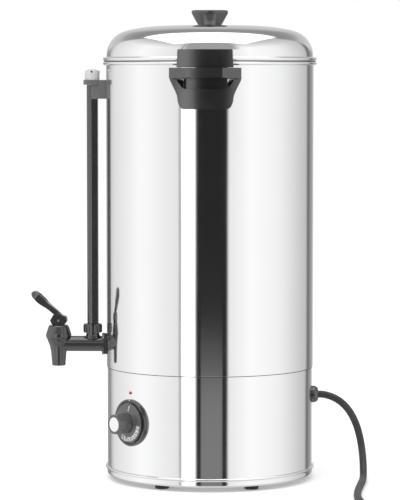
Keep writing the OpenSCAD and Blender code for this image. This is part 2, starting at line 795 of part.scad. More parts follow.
module tap_lever() {
    color("#1c1c1c") translate([0, valve_y, pin_z]) difference() {
        union() {
            translate([-knuckle_w / 2, 0, 0]) rotate([90, 0, 90]) linear_extrude(knuckle_w) knuckle_side();
            rotate([-lever_tilt, 0, 0]) intersection() {
                translate([-15, 0, 0]) mirror([0, 1, 0]) rotate([90, 0, 90]) linear_extrude(30) lever_side();
                mirror([0, 1, 0]) rotate([0, 0, 90]) linear_extrude(30) lever_plan();
            }
        }
        // dished paddle
        rotate([-lever_tilt, 0, 0]) translate([0, -34, 10.8 + 28]) scale([1, 1.6, 1]) sphere(r = 31);
        // slot for the stem's tongue, open to the front for the lever's swing
        translate([-fork_w / 2, 0, 0]) rotate([90, 0, 90]) linear_extrude(fork_w) {
            circle(r = stem_d / 2 + 0.9);
            polygon([[3.9, 0], [3.9, -20], [-20, -20], [-20, -1], [-3.9, 0]]);
        }
        rod_x(pin_d + 0.04, -20, 20);
    }
}

module lever_pin() {
    color("silver") translate([0, valve_y, pin_z]) rod_x(pin_d, -knuckle_w / 2 + 0.2, knuckle_w / 2 - 0.2);
}

// ---------- sight gauge ----------

module gauge_nut() {
    ribs = 22;
    d = 22.6;
    color("#1c1c1c") at_gauge() difference() {
        union() {
            translate([0, 0, gauge_nut_z]) cylinder(d = d, h = gauge_nut_h);
            around(ribs) translate([d / 2 - 0.1, 0, gauge_nut_z + 0.8]) cylinder(d = 1.5, h = gauge_nut_h - 2.4, $fn = 8);
        }
        translate([0, 0, gauge_nut_z - 1]) cylinder(d = neck_d + 2 * fit, h = gauge_nut_h - 3 + 1);
        cylinder(d = glass_d + 0.6, h = rim_z);
    }
}

module gauge_seal() {
    color("#2b2b2b") at_gauge() ring(neck_d / 2 - 0.3, glass_d / 2 + fit, neck_top + fit, gauge_nut_z + gauge_nut_h - 3 - fit);
}

module gauge_glass() {
    color("lightcyan", 0.5) at_gauge() ring(glass_d / 2, glass_d / 2 - 1.5, glass_z + 0.3, glass_top);
}

// Section of the guard: a round nose in front of a flat-sided back, with a slot
module guard_section() {
    r = guard_d / 2;
    difference() {
        union() {
            circle(r = r);
            translate([-r, 0]) square([2 * r, r - 0.8]);
            translate([-r + 1, 0]) square([2 * r - 2, r]);
        }
        circle(d = glass_d + 0.9);
        translate([-guard_slot / 2, -20]) square([guard_slot, 20]);
        for (s = [-1, 1]) translate([s * r - 0.4, -0.2]) square([0.8, 0.6]);
    }
}

module gauge_guard() {
    r = guard_d / 2;
    color("#1c1c1c") at_gauge() difference() {
        translate([0, 0, guard_z + 0.1]) linear_extrude(flange_z - guard_z - 0.3) guard_section();
        translate([-20, -1.2, bracket_z - 0.2]) cube([40, 20, 60]);
    }
}

bracket_screw_z = bracket_z + 8;

// Holds the gauge's upper end, and is screwed to the tank
module gauge_bracket() {
    r = guard_d / 2;
    color("#1c1c1c") difference() {
        union() {
            translate([-r - 1, gauge_y - 1, bracket_z]) cube([2 * r + 2, gauge_off + 1, flange_top - bracket_z]);
            translate([0, 0, flange_z]) linear_extrude(flange_top - flange_z) rounded([
                [-r - 3, gauge_y - r - 3.4, 4], [r + 3, gauge_y - r - 3.4, 4],
                [r + 3, gauge_y + r + 1, 2], [-r - 3, gauge_y + r + 1, 2]
            ]);
        }
        at_gauge() cylinder(d = glass_d + 0.5, h = rim_z);
        cylinder(r = tank_r + seat, h = rim_z, $fn = 360);
        translate([0, 0, bracket_screw_z]) rod_y(4.2, gauge_y + glass_d, -tank_r + 5);
    }
}

module gauge_screw() {
    color("silver") translate([0, -tank_in + 0.4, bracket_screw_z]) rotate([-90, 0, 0])
        pan_screw(4, 6, 8, 2.6);
}

module vent_cap() {
    z = flange_top + 0.1;
    r = vent_d / 2;
    color("ghostwhite") at_gauge() difference() {
        union() {
            rotate_extrude() rounded([
                [0, z, 0], [r, z, 0], [r, z + 8.4, 0.6], [r - 0.7, z + 9.2, 0.3],
                [r - 0.5, z + 11.2, 0.6], [0, z + 15, 3]
            ], 3);
            translate([0, 0, z + 10.4]) rod_y(3.2, r - 2, r + 0.6);
        }
        translate([0, 0, z - 1]) cylinder(d = glass_d + 0.8, h = 9);
        translate([0, 0, z + 10.2]) rod_x(2.6, 0, r + 5);
        cylinder(d = 3, h = z + 12);
    }
}

// ---------- thermostat ----------

module thermostat_body() {
    color("ivory") facing(dial_az, dial_z) difference() {
        union() {
            translate([-19, -17, body_front - 28]) cube([38, 34, 26]);
            translate([-10, -22, body_front - 2]) cube([20, 44, 1.6]);
            translate([0, 0, body_front - 3]) cylinder(d = 10, h = skirt_r - body_front + 4.2);
            for (y = [-9, 0, 9]) translate([12, y - 3.2, body_front - 36]) cube([0.8, 6.4, 9]);
        }
        translate([0, 0, body_front - 12]) cylinder(d = shaft_d + 2 * fit, h = 40);
    }
}

module thermostat_shaft() {
    color("silver") facing(dial_az, dial_z) difference() {
        translate([0, 0, body_front - 11.6]) cylinder(d = shaft_d, h = disc_back + 14 - body_front + 11.6);
        translate([1.8, -5, disc_back + 2]) cube([5, 10, 20]);
    }
}

module dial_bezel() {
    color("#1c1c1c") difference() {
        facing(dial_az, dial_z) difference() {
            translate([0, 0, skirt_r - 8]) cylinder(d = bezel_d, h = bezel_front - skirt_r + 8);
            translate([0, 0, bezel_front - 1.2]) cylinder(d1 = dish_d, d2 = dish_d + 1.6, h = 1.3);
            translate([0, 0, skirt_r - 20]) cylinder(d = 10.5, h = 40);
        }
        cylinder(r = skirt_r + 0.1, h = seam_z, $fn = 360);
    }
}

// A disc that carries the scale, with an eight-sided grip
module thermostat_knob() {
    flat = dial_grip_d;
    tip = flat / 2 + 0.8;
    disc_top = disc_back + disc_t;
    color("#1c1c1c") facing(dial_az, dial_z) difference() {
        union() {
            rotate_extrude() rounded([
                [0, disc_back, 0], [disc_d / 2, disc_back, 0], [disc_d / 2, disc_top - 1.8, 0.6],
                [flat / 2 + 4, disc_top, 0], [flat / 2 + 1.5, disc_top + 1.2, 0], [0, disc_top + 1.2, 0]
            ], 3);
            intersection() {
                rotate([0, 0, 22.5]) translate([0, 0, disc_top])
                    cylinder(d = flat / cos(22.5), h = dial_grip_l, $fn = 8);
                rotate_extrude() rounded([
                    [0, disc_back, 0], [tip, disc_back, 0], [tip, dial_front - 0.6, 0.6],
                    [tip - 1.4, dial_front, 0.4], [0, dial_front, 0]
                ], 3);
            }
        }
        translate([0, 0, dial_front - 1.2]) cylinder(d = insert_d + 0.2, h = 5);
        difference() {
            translate([0, 0, disc_back - 5]) cylinder(d = shaft_d + 0.1, h = 19.4);
            translate([1.85, -5, disc_back + 2]) cube([5, 10, 20]);
        }
    }
}

insert_d = 17.8;

module knob_insert() {
    color("white") facing(dial_az, dial_z) translate([0, 0, dial_front - 1.15]) rotate_extrude() intersection() {
        square([insert_d / 2, 1.7]);
        translate([0, -58.3]) circle(r = 60, $fn = 360);
    }
}

bulb_z = spreader_z - 3.1;

// A bulb under the heat spreader with a thin tube to its switch
module probe(bulb, tail, last) {
    tube_along([bulb, bulb + [60, 0, 0]], 6, 10, [1, 0, 0], [1, 0, 0], [0, 0, 1]);
    tube_along(tail, 2, 6, [tail[1][0] > tail[0][0] ? 1 : -1, 0, 0], last, [0, 0, 1]);
}

module thermostat_probe() {
    x = (body_front - 15) * cos(dial_az);
    y = (body_front - 15) * sin(dial_az);
    color("peru") probe([-30, 18, bulb_z], [
        [28, 18, bulb_z], [36, 17, bulb_z - 1.5], [42, 12, bulb_z - 8], [48, -4, dial_z + 46],
        [x - 18, y + 20, dial_z + 40], [x - 6, y + 6, dial_z + 34], [x, y, dial_z + 25], [x, y, dial_z + 19.1]
    ], [0, 0, -1]);
}

cutout_x = -40;
cutout_y = 62;

module cutout_probe() {
    color("peru") probe([-30, -18, bulb_z], [
        [-28, -18, bulb_z], [-36, -17, bulb_z - 1.5], [-42, -10, bulb_z - 9], [-44, 10, 110],
        [-42, 34, 86], [-40, 53, 64], [-40, 62, 48], [-40, 62, cutout_top + 0.1]
    ], [0, 0, -1]);
}

lamp_d = 4;

module pilot_lamp() {
    color("red") facing(dial_az, dial_z + lamp_rise) {
        translate([0, 0, skirt_r - 8]) cylinder(d = lamp_d, h = 8);
        translate([0, 0, skirt_r]) rotate_extrude() intersection() {
            circle(d = lamp_d);
            square(lamp_d);
        }
    }
}

module lamp_holder() {
    color("dimgray") facing(dial_az, dial_z + lamp_rise) difference() {
        translate([0, 0, skirt_r - 22]) cylinder(d = 9, h = 22 - skirt_wall - 0.2);
        translate([0, 0, skirt_r - 8 - 0.1]) cylinder(d = lamp_d + 2 * fit, h = 20);
    }
}

// ---------- over-temperature cut-out ----------

cutout_z = foot_h + 1.6;
cutout_h = 26;
cutout_top = cutout_z + cutout_h;
button_d = 6;
button_travel = 1.5;

module at_cutout() { translate([cutout_x, cutout_y, 0]) children(); }

module cutout_body() {
    color("ivory") at_cutout() difference() {
        union() {
            translate([-12, -16, cutout_z]) cube([24, 32, cutout_h]);
            translate([0, 0, foot_h - 2]) cylinder(d = 10, h = 5);
            for (y = [-10, 6]) translate([-0.4, y, cutout_top - 1]) cube([0.8, 6.4, 9]);
        }
        translate([0, 0, -1]) cylinder(d = button_d + 2 * fit, h = cutout_z + 12);
    }
}

module reset_button() {
    color("crimson") at_cutout() translate([0, 0, foot_h - 3.5]) cylinder(d = button_d, h = 11);
}

// ---------- connections ----------

wire_d = 2.8;

module terminal_block() {
    color("ivory") translate([-24, 70, foot_h + 1.6]) difference() {
        cube([48, 18, 16]);
        for (i = [0 : 2]) translate([8 + 16 * i, -1, 8]) rotate([-90, 0, 0]) cylinder(d = wire_d + 0.3, h = 30);
        for (i = [0 : 2]) translate([8 + 16 * i, 9, 10]) cylinder(d = 4, h = 10);
    }
}

// Insulated leads between the parts of the base
module wiring() {
    block_y = 74;
    wire_z = foot_h + 9.6;
    a = element_az + element_gap / 2;
    e1 = [element_r * cos(a), element_r * sin(a), element_z - cold_end - 7.2];
    e2 = [element_r * cos(a - element_gap), element_r * sin(a - element_gap), e1[2]];
    t = [(body_front - 37) * cos(dial_az), (body_front - 37) * sin(dial_az), dial_z - 12.4];
    color("firebrick") {
        tube_along([[0, block_y, wire_z], [0, block_y - 8, wire_z], [2, 52, wire_z + 4], [20, 10, 40], t - [18, -14, 8], t - [0.4, -0.4, 0]],
            wire_d, 8, [0, -1, 0], unit([1, -1, 0]));
        tube_along([[-16, block_y, wire_z], [-16, block_y - 8, wire_z], [-18, 48, wire_z + 2], [-52, 20, 40], e1 - [0, 0, 24], e1],
            wire_d, 8, [0, -1, 0], [0, 0, 1]);
    }
}

gland_thread = 15;

// Tapered strain relief with a threaded sleeve through the skirt
module cord_gland() {
    color("#1c1c1c") facing(90, gland_z) difference() {
        union() {
            rotate_extrude() rounded([
                [0, skirt_r - 14, 0], [gland_thread / 2, skirt_r - 14, 0], [gland_thread / 2, skirt_r - 2, 0],
                [10.6, skirt_r - 2, 0], [10.6, skirt_r + 3.4, 1.6], [8.6, gland_y - 1, 1.8],
                [cord_d / 2 + 1, gland_y, 0.8], [0, gland_y, 0]
            ], 3);
        }
        translate([0, 0, skirt_r - 20]) cylinder(d = cord_d + 0.3, h = 21 + 7.9);
        intersection() {
            translate([0, 0, skirt_r - 3]) cylinder(d = 30, h = 4);
            rotate([0, -90, 0]) translate([0, 0, -20]) cylinder(r = skirt_r + 0.1, h = 40, $fn = 360);
            difference() {
                translate([0, 0, skirt_r - 5]) cylinder(d = 40, h = 10);
                translate([0, 0, skirt_r - 6]) cylinder(d = gland_thread, h = 12);
            }
        }
    }
}

module gland_nut() {
    color("#2b2b2b") facing(90, gland_z) translate([0, 0, skirt_r - 7]) difference() {
        hexagon(20, 5);
        translate([0, 0, -1]) cylinder(d = gland_thread + 2 * fit, h = 10);
    }
}

// The cord's inner end, from the gland down to the terminal block
module cord_tail() {
    color("#202020") tube_along([
        [0, skirt_r - 0.5, gland_z], [0, skirt_r - 14, gland_z], [0, skirt_r - 26, gland_z - 5],
        [0, skirt_r - 33, gland_z - 20], [0, skirt_r - 33, 50], [0, skirt_r - 32, 34]
    ], cord_d - 0.4, 8, [0, -1, 0], [0, 0, -1]);
    color("peru") tube_along([
        [0, skirt_r - 32, 34], [0, skirt_r - 32, 26], [0, skirt_r - 33, foot_h + 14], [0, skirt_r - 36, foot_h + 9.6],
        [0, 91, foot_h + 9.6], [0, 84, foot_h + 9.6]
    ], wire_d, 8, [0, 0, -1], [0, -1, 0]);
}

module power_cord() {
    color("#202020") tube_along(cord_route, cord_d, 8, [0, 1, 0], [1, 0, 0]);
}

// Loops that spiral in, climb a layer in the half turn where they reverse, and out again
turn_back = coil_turns / 2;
function climb(t) = let(s = max(0, min(1, (t - turn_back + 0.25) * 2))) s * s * (3 - 2 * s);
function coil_point(t) =
    let(r = coil_r - coil_pitch * (t < turn_back ? t : coil_turns - t), a = 90 - 360 * t)
    [coil_c[0] + r * cos(a), coil_c[1] + r * sin(a), cord_rest + coil_layer * climb(t)];

coil_steps = 24;
coil_path = concat(
    [[coil_c[0], coil_c[1] + coil_r, cord_rest]],
    [for (i = [1 : coil_turns * coil_steps - 1]) coil_point(i / coil_steps)],
    [[coil_c[0], coil_c[1] + coil_r, cord_rest + coil_layer],
     [coil_c[0] + 9, coil_c[1] + coil_r, cord_rest + coil_layer + 0.6],
     [coil_c[0] + 18, coil_c[1] + coil_r, plug_z - 1.6],
     [coil_c[0] + 26, coil_c[1] + coil_r, plug_z], [coil_c[0] + 35, coil_c[1] + coil_r, plug_z]]);

// Least distance between points of the coil that are more than half a loop apart
coil_gap = min([for (i = [0 : 2 : len(coil_path) - 1]) for (j = [i + coil_steps / 2 : len(coil_path) - 1])
    norm(coil_path[i] - coil_path[j])]) - cord_d;

module cord_coil() {
    echo(coil_least_gap_mm = coil_gap);
    color("#202020") tube_along(coil_path, cord_d, 6, [1, 0, 0], [1, 0, 0], [0, 0, 1]);
}

plug_x = coil_c[0] + 35;
module at_plug() { translate([plug_x, coil_c[1] + coil_r, plug_z]) rotate([0, 90, 0]) children(); }

module plug_body() {
    face = 56;
    color("#202020") at_plug() difference() {
        rotate_extrude() rounded([
            [0, 0.1, 0], [5.6, 0.1, 0.5], [6.8, 20, 0], [8.6, 22, 2], [14.5, 38, 10], [15.5, 42, 1],
            [18.4, 43.5, 1], [18.4, face - 0.6, 0.6], [0, face - 0.6, 0]
        ], 3);
        for (i = [0 : 3]) translate([0, 0, 3.6 + 4.2 * i]) ring(9, 5.1, 0, 1.4);
        for (s = [0, 180]) rotate([0, 0, s]) translate([16.6, -20, 20]) cube([10, 40, 60]);
        translate([0, 0, face - 4]) cylinder(d = 4.8, h = 10);
        for (y = [-9.5, 9.5]) translate([0, y, face - 8]) cylinder(d = 4.8, h = 20);
    }
}

module plug_pins() {
    face = 56;
    color("silver") at_plug() for (y = [-9.5, 9.5]) translate([0, y, face - 7.8]) {
        cylinder(d = 4.7, h = 25.3);
        translate([0, 0, 25.3]) cylinder(d1 = 4.7, d2 = 3.4, h = 1.4);
    }
}

tank_shell();
tank_bottom();
base_skirt();
base_ring();
base_plate();
base_screws();
rubber_feet();
foot_screws();
heat_spreader();
heating_element();
handle_right();
handle_left();
handle_screws();
lid_shell();
lid_spigot();
lid_knob();
lid_screw();
lid_lug_right();
lid_lug_left();
lug_rivets();
tap_body();
tap_gasket();
tap_lock_nut();
tap_cap();
tap_spring();
tap_stem();
seat_cup();
tap_lever();
lever_pin();
gauge_nut();
gauge_seal();
gauge_glass();
gauge_guard();
gauge_bracket();
gauge_screw();
vent_cap();
thermostat_body();
thermostat_shaft();
dial_bezel();
thermostat_knob();
knob_insert();
thermostat_probe();
pilot_lamp();
lamp_holder();
cutout_body();
cutout_probe();
reset_button();
terminal_block();
wiring();
cord_gland();
gland_nut();
cord_tail();
power_cord();
cord_coil();
plug_body();
plug_pins();
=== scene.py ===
import json
import math

import bmesh
import bpy
from mathutils import Matrix, Vector


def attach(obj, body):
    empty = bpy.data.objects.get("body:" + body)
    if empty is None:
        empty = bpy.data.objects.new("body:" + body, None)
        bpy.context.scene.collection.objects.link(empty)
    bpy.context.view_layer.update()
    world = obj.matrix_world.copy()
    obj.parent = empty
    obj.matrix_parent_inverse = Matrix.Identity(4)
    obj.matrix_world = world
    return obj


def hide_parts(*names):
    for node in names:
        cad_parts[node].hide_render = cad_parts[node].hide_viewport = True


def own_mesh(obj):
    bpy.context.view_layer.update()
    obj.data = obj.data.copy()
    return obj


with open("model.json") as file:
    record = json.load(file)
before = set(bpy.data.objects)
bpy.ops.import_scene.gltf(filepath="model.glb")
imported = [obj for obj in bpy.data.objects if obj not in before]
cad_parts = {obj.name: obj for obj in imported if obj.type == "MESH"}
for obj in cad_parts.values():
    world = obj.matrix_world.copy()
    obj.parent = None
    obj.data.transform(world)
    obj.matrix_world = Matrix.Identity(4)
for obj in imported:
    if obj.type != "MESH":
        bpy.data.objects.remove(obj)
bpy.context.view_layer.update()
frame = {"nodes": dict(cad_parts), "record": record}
nodes = frame["nodes"]
record = frame["record"]
scene = bpy.context.scene
scene.view_settings.view_transform = "Standard"
mm = 0.001


print("camera")
shot = {
    "azimuth": 2.2,        # degrees from +X towards +Y
    "distance": 3.33,      # metres from the urn's axis
    "height": 0.514,
    "tilt": -3.886,        # degrees above level
    "pan": 0.212,          # degrees turned left of the axis
    "lens": 190.8,
    "sensor": 36,
    "clip": (0.05, 60),
}


def placeCamera():
    data = bpy.data.cameras.new("camera")
    data.sensor_width = shot["sensor"]
    data.lens = shot["lens"]
    data.clip_start, data.clip_end = shot["clip"]
    camera = bpy.data.objects.new("camera", data)
    scene.collection.objects.link(camera)
    turn = math.radians(shot["azimuth"])
    camera.location = (shot["distance"] * math.cos(turn), shot["distance"] * math.sin(turn), shot["height"])
    heading, tilt = math.radians(180 + shot["azimuth"] + shot["pan"]), math.radians(shot["tilt"])
    ahead = Vector((math.cos(heading) * math.cos(tilt), math.sin(heading) * math.cos(tilt), math.sin(tilt)))
    camera.rotation_euler = ahead.to_track_quat("-Z", "Y").to_euler()
    scene.camera = camera


placeCamera()


class Value:
    # a socket that takes part in arithmetic
    def __init__(self, finish, socket):
        self.finish, self.socket = finish, socket

    def maths(self, operation, *terms):
        return self.finish.node("ShaderNodeMath", {"operation": operation}, terms)

    def __add__(self, other):
        return self.maths("ADD", self, other)

    __radd__ = __add__

    def __sub__(self, other):
        return self.maths("SUBTRACT", self, other)

    def __rsub__(self, other):
        return self.maths("SUBTRACT", other, self)

    def __mul__(self, other):
        return self.maths("MULTIPLY", self, other)

    __rmul__ = __mul__

    def __truediv__(self, other):
        return self.maths("DIVIDE", self, other)

    def __abs__(self):
        return self.maths("ABSOLUTE", self)

    def above(self, edge, blur):
        # 0 below the edge, 1 above it, over a soft width
        return ((self - edge) / blur + 0.5).held()

    def held(self):
        return self.finish.node("ShaderNodeClamp", {}, [self])


class Finish:
    # a node tree of shaders, of a new material or of the world
    def __init__(self, name, tree=None):
        if tree is None:
            self.material = bpy.data.materials.new(name)
            self.material.use_nodes = True
            tree = self.material.node_tree
        self.tree = tree
        tree.nodes.clear()

    def node(self, kind, settings=None, inputs=(), output=0):
        made = self.tree.nodes.new(kind)
        for key, value in (settings or {}).items():
            if key == "stops":
                ramp = made.color_ramp
                while len(ramp.elements) < len(value):
                    ramp.elements.new(0.5)
                for element, (position, colour) in zip(ramp.elements, value):
                    element.position = position
                    element.color = colour if isinstance(colour, tuple) else (colour, colour, colour, 1)
            else:
                setattr(made, key, value)
        pairs = inputs.items() if isinstance(inputs, dict) else enumerate(inputs)
        for key, value in pairs:
            if isinstance(value, Value):
                self.tree.links.new(value.socket, made.inputs[key])
            elif value is not None:
                made.inputs[key].default_value = value
        return Value(self, made.outputs[output]) if len(made.outputs) else made

    def place(self):
        return self.node("ShaderNodeTexCoord", output="Object")

    def noise(self, scale, detail, roughness, stretch=None):
        at = self.place()
        if stretch:
            at = self.node("ShaderNodeMapping", {}, {"Vector": at, "Scale": stretch})
        return self.node("ShaderNodeTexNoise", {},
                         {"Vector": at, "Scale": scale, "Detail": detail, "Roughness": roughness})

    def mix(self, factor, first, second):
        # blends two colours
        return self.node("ShaderNodeMix", {"data_type": "RGBA"}, {0: factor, 6: first, 7: second}, 2)

    def bump(self, height, strength, distance, under=None):
        return self.node("ShaderNodeBump", {},
                         {"Height": height, "Strength": strength, "Distance": distance, "Normal": under})

    def surface(self, **inputs):
        inputs = {key.replace("_", " "): value for key, value in inputs.items()}
        shader = self.node("ShaderNodeBsdfPrincipled", {}, inputs)
        self.node("ShaderNodeOutputMaterial", {}, {"Surface": shader})
        return self.material


def grey(level, warm=0.0):
    return (level * (1 + warm), level, level * (1 - warm), 1)


print("finishes")


def polishedSteel():
    # bright-rolled stainless sheet: nearly a mirror, with a faint lengthwise grain and a slight waviness
    f = Finish("polishedSteel")
    grain = f.noise(900, 2, 0.6, stretch=(1, 1, 0.03))
    haze = f.noise(14, 3, 0.55)
    wave = f.noise(9, 1, 0.4, stretch=(1, 1, 0.45))
    rough = 0.055 + 0.03 * haze + 0.015 * grain
    tint = f.mix(haze, grey(0.87), grey(0.9, -0.003))
    bump = f.bump(wave, 0.16, 0.0016, f.bump(grain, 0.05, 0.00004))
    return f.surface(Base_Color=tint, Metallic=1.0, Roughness=rough, Normal=bump)


def dulledSteel():
    # the same sheet inside the tank, matt from drawing and dulled by boiled water
    f = Finish("dulledSteel")
    cloud = f.noise(22, 4, 0.6)
    rings = f.noise(160, 2, 0.5, stretch=(0.06, 0.06, 1))
    tint = f.mix(cloud, grey(0.6, 0.01), grey(0.74, 0.004))
    return f.surface(Base_Color=tint, Metallic=0.45, Roughness=0.36 + 0.12 * cloud + 0.06 * rings,
                     Normal=f.bump(rings, 0.12, 0.00006))


def mouldedBlack(name="mouldedBlack", level=0.012, rough=0.19, grain=0.1, index=2.0):
    f = Finish(name)
    fine = f.noise(2600, 2, 0.5)
    cloud = f.noise(60, 3, 0.6)
    return f.surface(
        Base_Color=f.mix(cloud, grey(level), grey(level * 1.45)),
        Roughness=rough - 0.05 + 0.1 * cloud + 0.05 * fine,
        Normal=f.bump(fine, grain, 0.00006), IOR=index)


def plainMetal(name, colour, rough, turned=False, mottled=0.0):
    f = Finish(name)
    spots = f.noise(120, 4, 0.6)
    lines = f.noise(1400, 1, 0.5, stretch=(1, 1, 0.05)) if turned else spots
    darker = tuple(c * (0.72 if mottled else 0.92) for c in colour[:3]) + (1,)
    return f.surface(
        Base_Color=f.mix(spots, darker, colour), Metallic=1.0,
        Roughness=rough - 0.06 + 0.12 * spots,
        Normal=f.bump(lines, 0.2 + mottled, 0.00008))


def plainPlastic(name, colour, rough, coat=0.0, speckle=0.1):
    f = Finish(name)
    fine = f.noise(1800, 2, 0.5)
    cloud = f.noise(45, 3, 0.6)
    darker = tuple(c * (1 - speckle) for c in colour[:3]) + (1,)
    return f.surface(
        Base_Color=f.mix(cloud, darker, colour), Roughness=rough - 0.04 + 0.08 * cloud,
        Coat_Weight=coat, Normal=f.bump(fine, 0.12, 0.00005))


def heatTinted():
    # element sheath, browned and blued by heat
    f = Finish("heatTinted")
    cloud = f.noise(40, 4, 0.65)
    tint = f.node("ShaderNodeValToRGB", {"stops": [
        (0.3, (0.09, 0.075, 0.07, 1)), (0.5, (0.2, 0.14, 0.09, 1)), (0.7, (0.1, 0.1, 0.14, 1))]}, [cloud])
    return f.surface(Base_Color=tint, Metallic=0.9, Roughness=0.35 + 0.2 * cloud, Normal=f.bump(cloud, 0.1, 0.0002))


def clearGlass():
    f = Finish("clearGlass")
    streak = f.noise(300, 2, 0.5, stretch=(1, 1, 0.05))
    return f.surface(Base_Color=(0.93, 0.97, 0.96, 1), Roughness=0.02 + 0.03 * streak, IOR=1.47,
                     Transmission_Weight=1.0)


def redLens():
    f = Finish("redLens")
    deep = f.noise(500, 2, 0.5)
    return f.surface(
        Base_Color=f.mix(deep, (0.42, 0.012, 0.008, 1), (0.75, 0.03, 0.02, 1)), Roughness=0.12 + 0.06 * deep,
        Coat_Weight=0.6, Coat_Roughness=0.05)


def cordSheath():
    # rubber sheath with the faint ridges of the cores under it
    f = Finish("cordSheath")
    fine = f.noise(1500, 2, 0.5)
    dust = f.noise(35, 4, 0.6)
    return f.surface(
        Base_Color=f.mix(dust.above(0.62, 0.3), grey(0.03), grey(0.055)), Roughness=0.42 + 0.12 * dust,
        Normal=f.bump(fine, 0.25, 0.00008))


finishOf = {
    "stainless_steel": polishedSteel(),
    "plated_steel": plainMetal("platedSteel", (0.62, 0.62, 0.6, 1), 0.28),
    "black_plastic": mouldedBlack(),
    "rubber": mouldedBlack("footRubber", 0.017, 0.62, 0.4, 1.5),
    "silicone": plainPlastic("silicone", (0.72, 0.71, 0.67, 1), 0.5),
    "cord_rubber": cordSheath(),
    "brass": plainMetal("brass", (0.78, 0.57, 0.27, 1), 0.24, turned=True),
    "aluminium": plainMetal("castAluminium", (0.7, 0.7, 0.71, 1), 0.42, mottled=0.3),
    "element_sheath": heatTinted(),
    "copper": plainMetal("copper", (0.72, 0.38, 0.24, 1), 0.3),
    "ceramic": plainPlastic("ceramic", (0.8, 0.77, 0.69, 1), 0.55, speckle=0.14),
    "wire_insulation": plainPlastic("wireInsulation", (0.4, 0.06, 0.035, 1), 0.4),
    "clear_glass": clearGlass(),
    "white_plastic": plainPlastic("whitePlastic", (0.83, 0.83, 0.81, 1), 0.3, coat=0.2, speckle=0.03),
    "pale_insert": plainPlastic("paleInsert", (0.8, 0.8, 0.79, 1), 0.22, coat=0.4, speckle=0.03),
    "red_lens": redLens(),
    "red_plastic": plainPlastic("redPlastic", (0.55, 0.03, 0.02, 1), 0.35),
}
tankInside = dulledSteel()
ownFinish = {              # nodes that look different from the rest of their material
    "thermostat_knob": mouldedBlack("dialBlack", 0.05, 0.25, 0.14, 1.85),
    "gauge_bracket": mouldedBlack("bracketBlack", 0.1, 0.3, 0.12, 1.7),
    "vent_cap": plainPlastic("ventWhite", (0.6, 0.6, 0.59, 1), 0.3, coat=0.2, speckle=0.05),
}

slotOf = {part["node"]: part["material_slot"] for part in record["subparts"]}
for nodeName, nodeObject in nodes.items():
    nodeObject.data.materials.clear()
    nodeObject.data.materials.append(tankInside if nodeName == "tank_bottom" else finishOf[slotOf[nodeName]])


bodyOf = {node: body for body, members in record["behaviour"]["bodies"].items() for node in members}


def newPiece(name, bm, finish, smoothAngle=None):
    mesh = bpy.data.meshes.new(name)
    bm.to_mesh(mesh)
    bm.free()
    mesh.materials.append(finish)
    piece = bpy.data.objects.new(name, mesh)
    scene.collection.objects.link(piece)
    if smoothAngle is not None:
        mesh.shade_smooth()
        mesh.set_sharp_from_angle(angle=math.radians(smoothAngle))
    return piece


def plainMesh(piece):
    # the piece with its modifiers worked in, as one plain mesh
    graph = bpy.context.evaluated_depsgraph_get()
    graph.update()
    return bpy.data.meshes.new_from_object(piece.evaluated_get(graph), depsgraph=graph)


def applyModifiers(piece):
    done = plainMesh(piece)
    piece.modifiers.clear()
    old, piece.data = piece.data, done
    bpy.data.meshes.remove(old)


def standsFor(piece, *replaced):
    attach(piece, bodyOf[replaced[0]])
    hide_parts(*replaced)
    return piece


def arcPoints(r, z, radius, start, end, count):
    # points (r, z) on an arc, angles in degrees from +r
    return [(r + radius * math.cos(math.radians(start + (end - start) * i / count)),
             z + radius * math.sin(math.radians(start + (end - start) * i / count))) for i in range(count + 1)]


def lathe(name, profile, finish, segments, looped=False, smoothAngle=40):
    # turns a profile of (r, z) in millimetres round the urn's axis
    bm = bmesh.new()
    turns = [2 * math.pi * k / segments for k in range(segments)]
    rings = []
    for r, z in profile:
        if r < 1e-6:
            rings.append([bm.verts.new((0, 0, z * mm))])
        else:
            rings.append([bm.verts.new((r * mm * math.cos(turn), r * mm * math.sin(turn), z * mm))
                          for turn in turns])
    pairs = list(zip(rings, rings[1:] + ([rings[0]] if looped else [])))
    for a, b in pairs:
        for k in range(segments):
            m = (k + 1) % segments
            corners = [a[k % len(a)], a[m % len(a)], b[m % len(b)], b[k % len(b)]]
            corners = [v for i, v in enumerate(corners) if v not in corners[:i]]
            if len(corners) > 2:
                bm.faces.new(corners)
    bmesh.ops.recalc_face_normals(bm, faces=bm.faces)
    return newPiece(name, bm, finish, smoothAngle)


edges = {
    "segments": 2,         # faces across a rounded edge
    "sharp": 32,           # degrees from which an edge is rounded
    "flat": 0.4,           # degrees up to which faces are joined
    "smooth": 30,          # degrees up to which shading runs on over an edge
    "merge": 2e-6, "sliver": 1e-6,      # metres
}


def roundEdges(piece, width):
    bevel = piece.modifiers.new("edges", "BEVEL")
    bevel.width, bevel.segments = width * mm, edges["segments"]
    bevel.limit_method, bevel.angle_limit = "ANGLE", math.radians(edges["sharp"])
    bevel.use_clamp_overlap = True


def softened(node, name, width, finish=None):
    # a copy of a rigid node's mesh with its edges rounded, as they come out of the mould
    bm = bmesh.new()
    bm.from_mesh(nodes[node].data)
    bmesh.ops.remove_doubles(bm, verts=bm.verts, dist=edges["merge"])
    bmesh.ops.dissolve_degenerate(bm, edges=bm.edges, dist=edges["sliver"])
    bmesh.ops.dissolve_limit(bm, angle_limit=math.radians(edges["flat"]), verts=bm.verts, edges=bm.edges)
    piece = newPiece(name, bm, finish or finishOf[slotOf[node]], edges["smooth"])
    roundEdges(piece, width)
    normals = piece.modifiers.new("normals", "WEIGHTED_NORMAL")
    normals.keep_sharp = True
    applyModifiers(piece)
    return standsFor(piece, node)


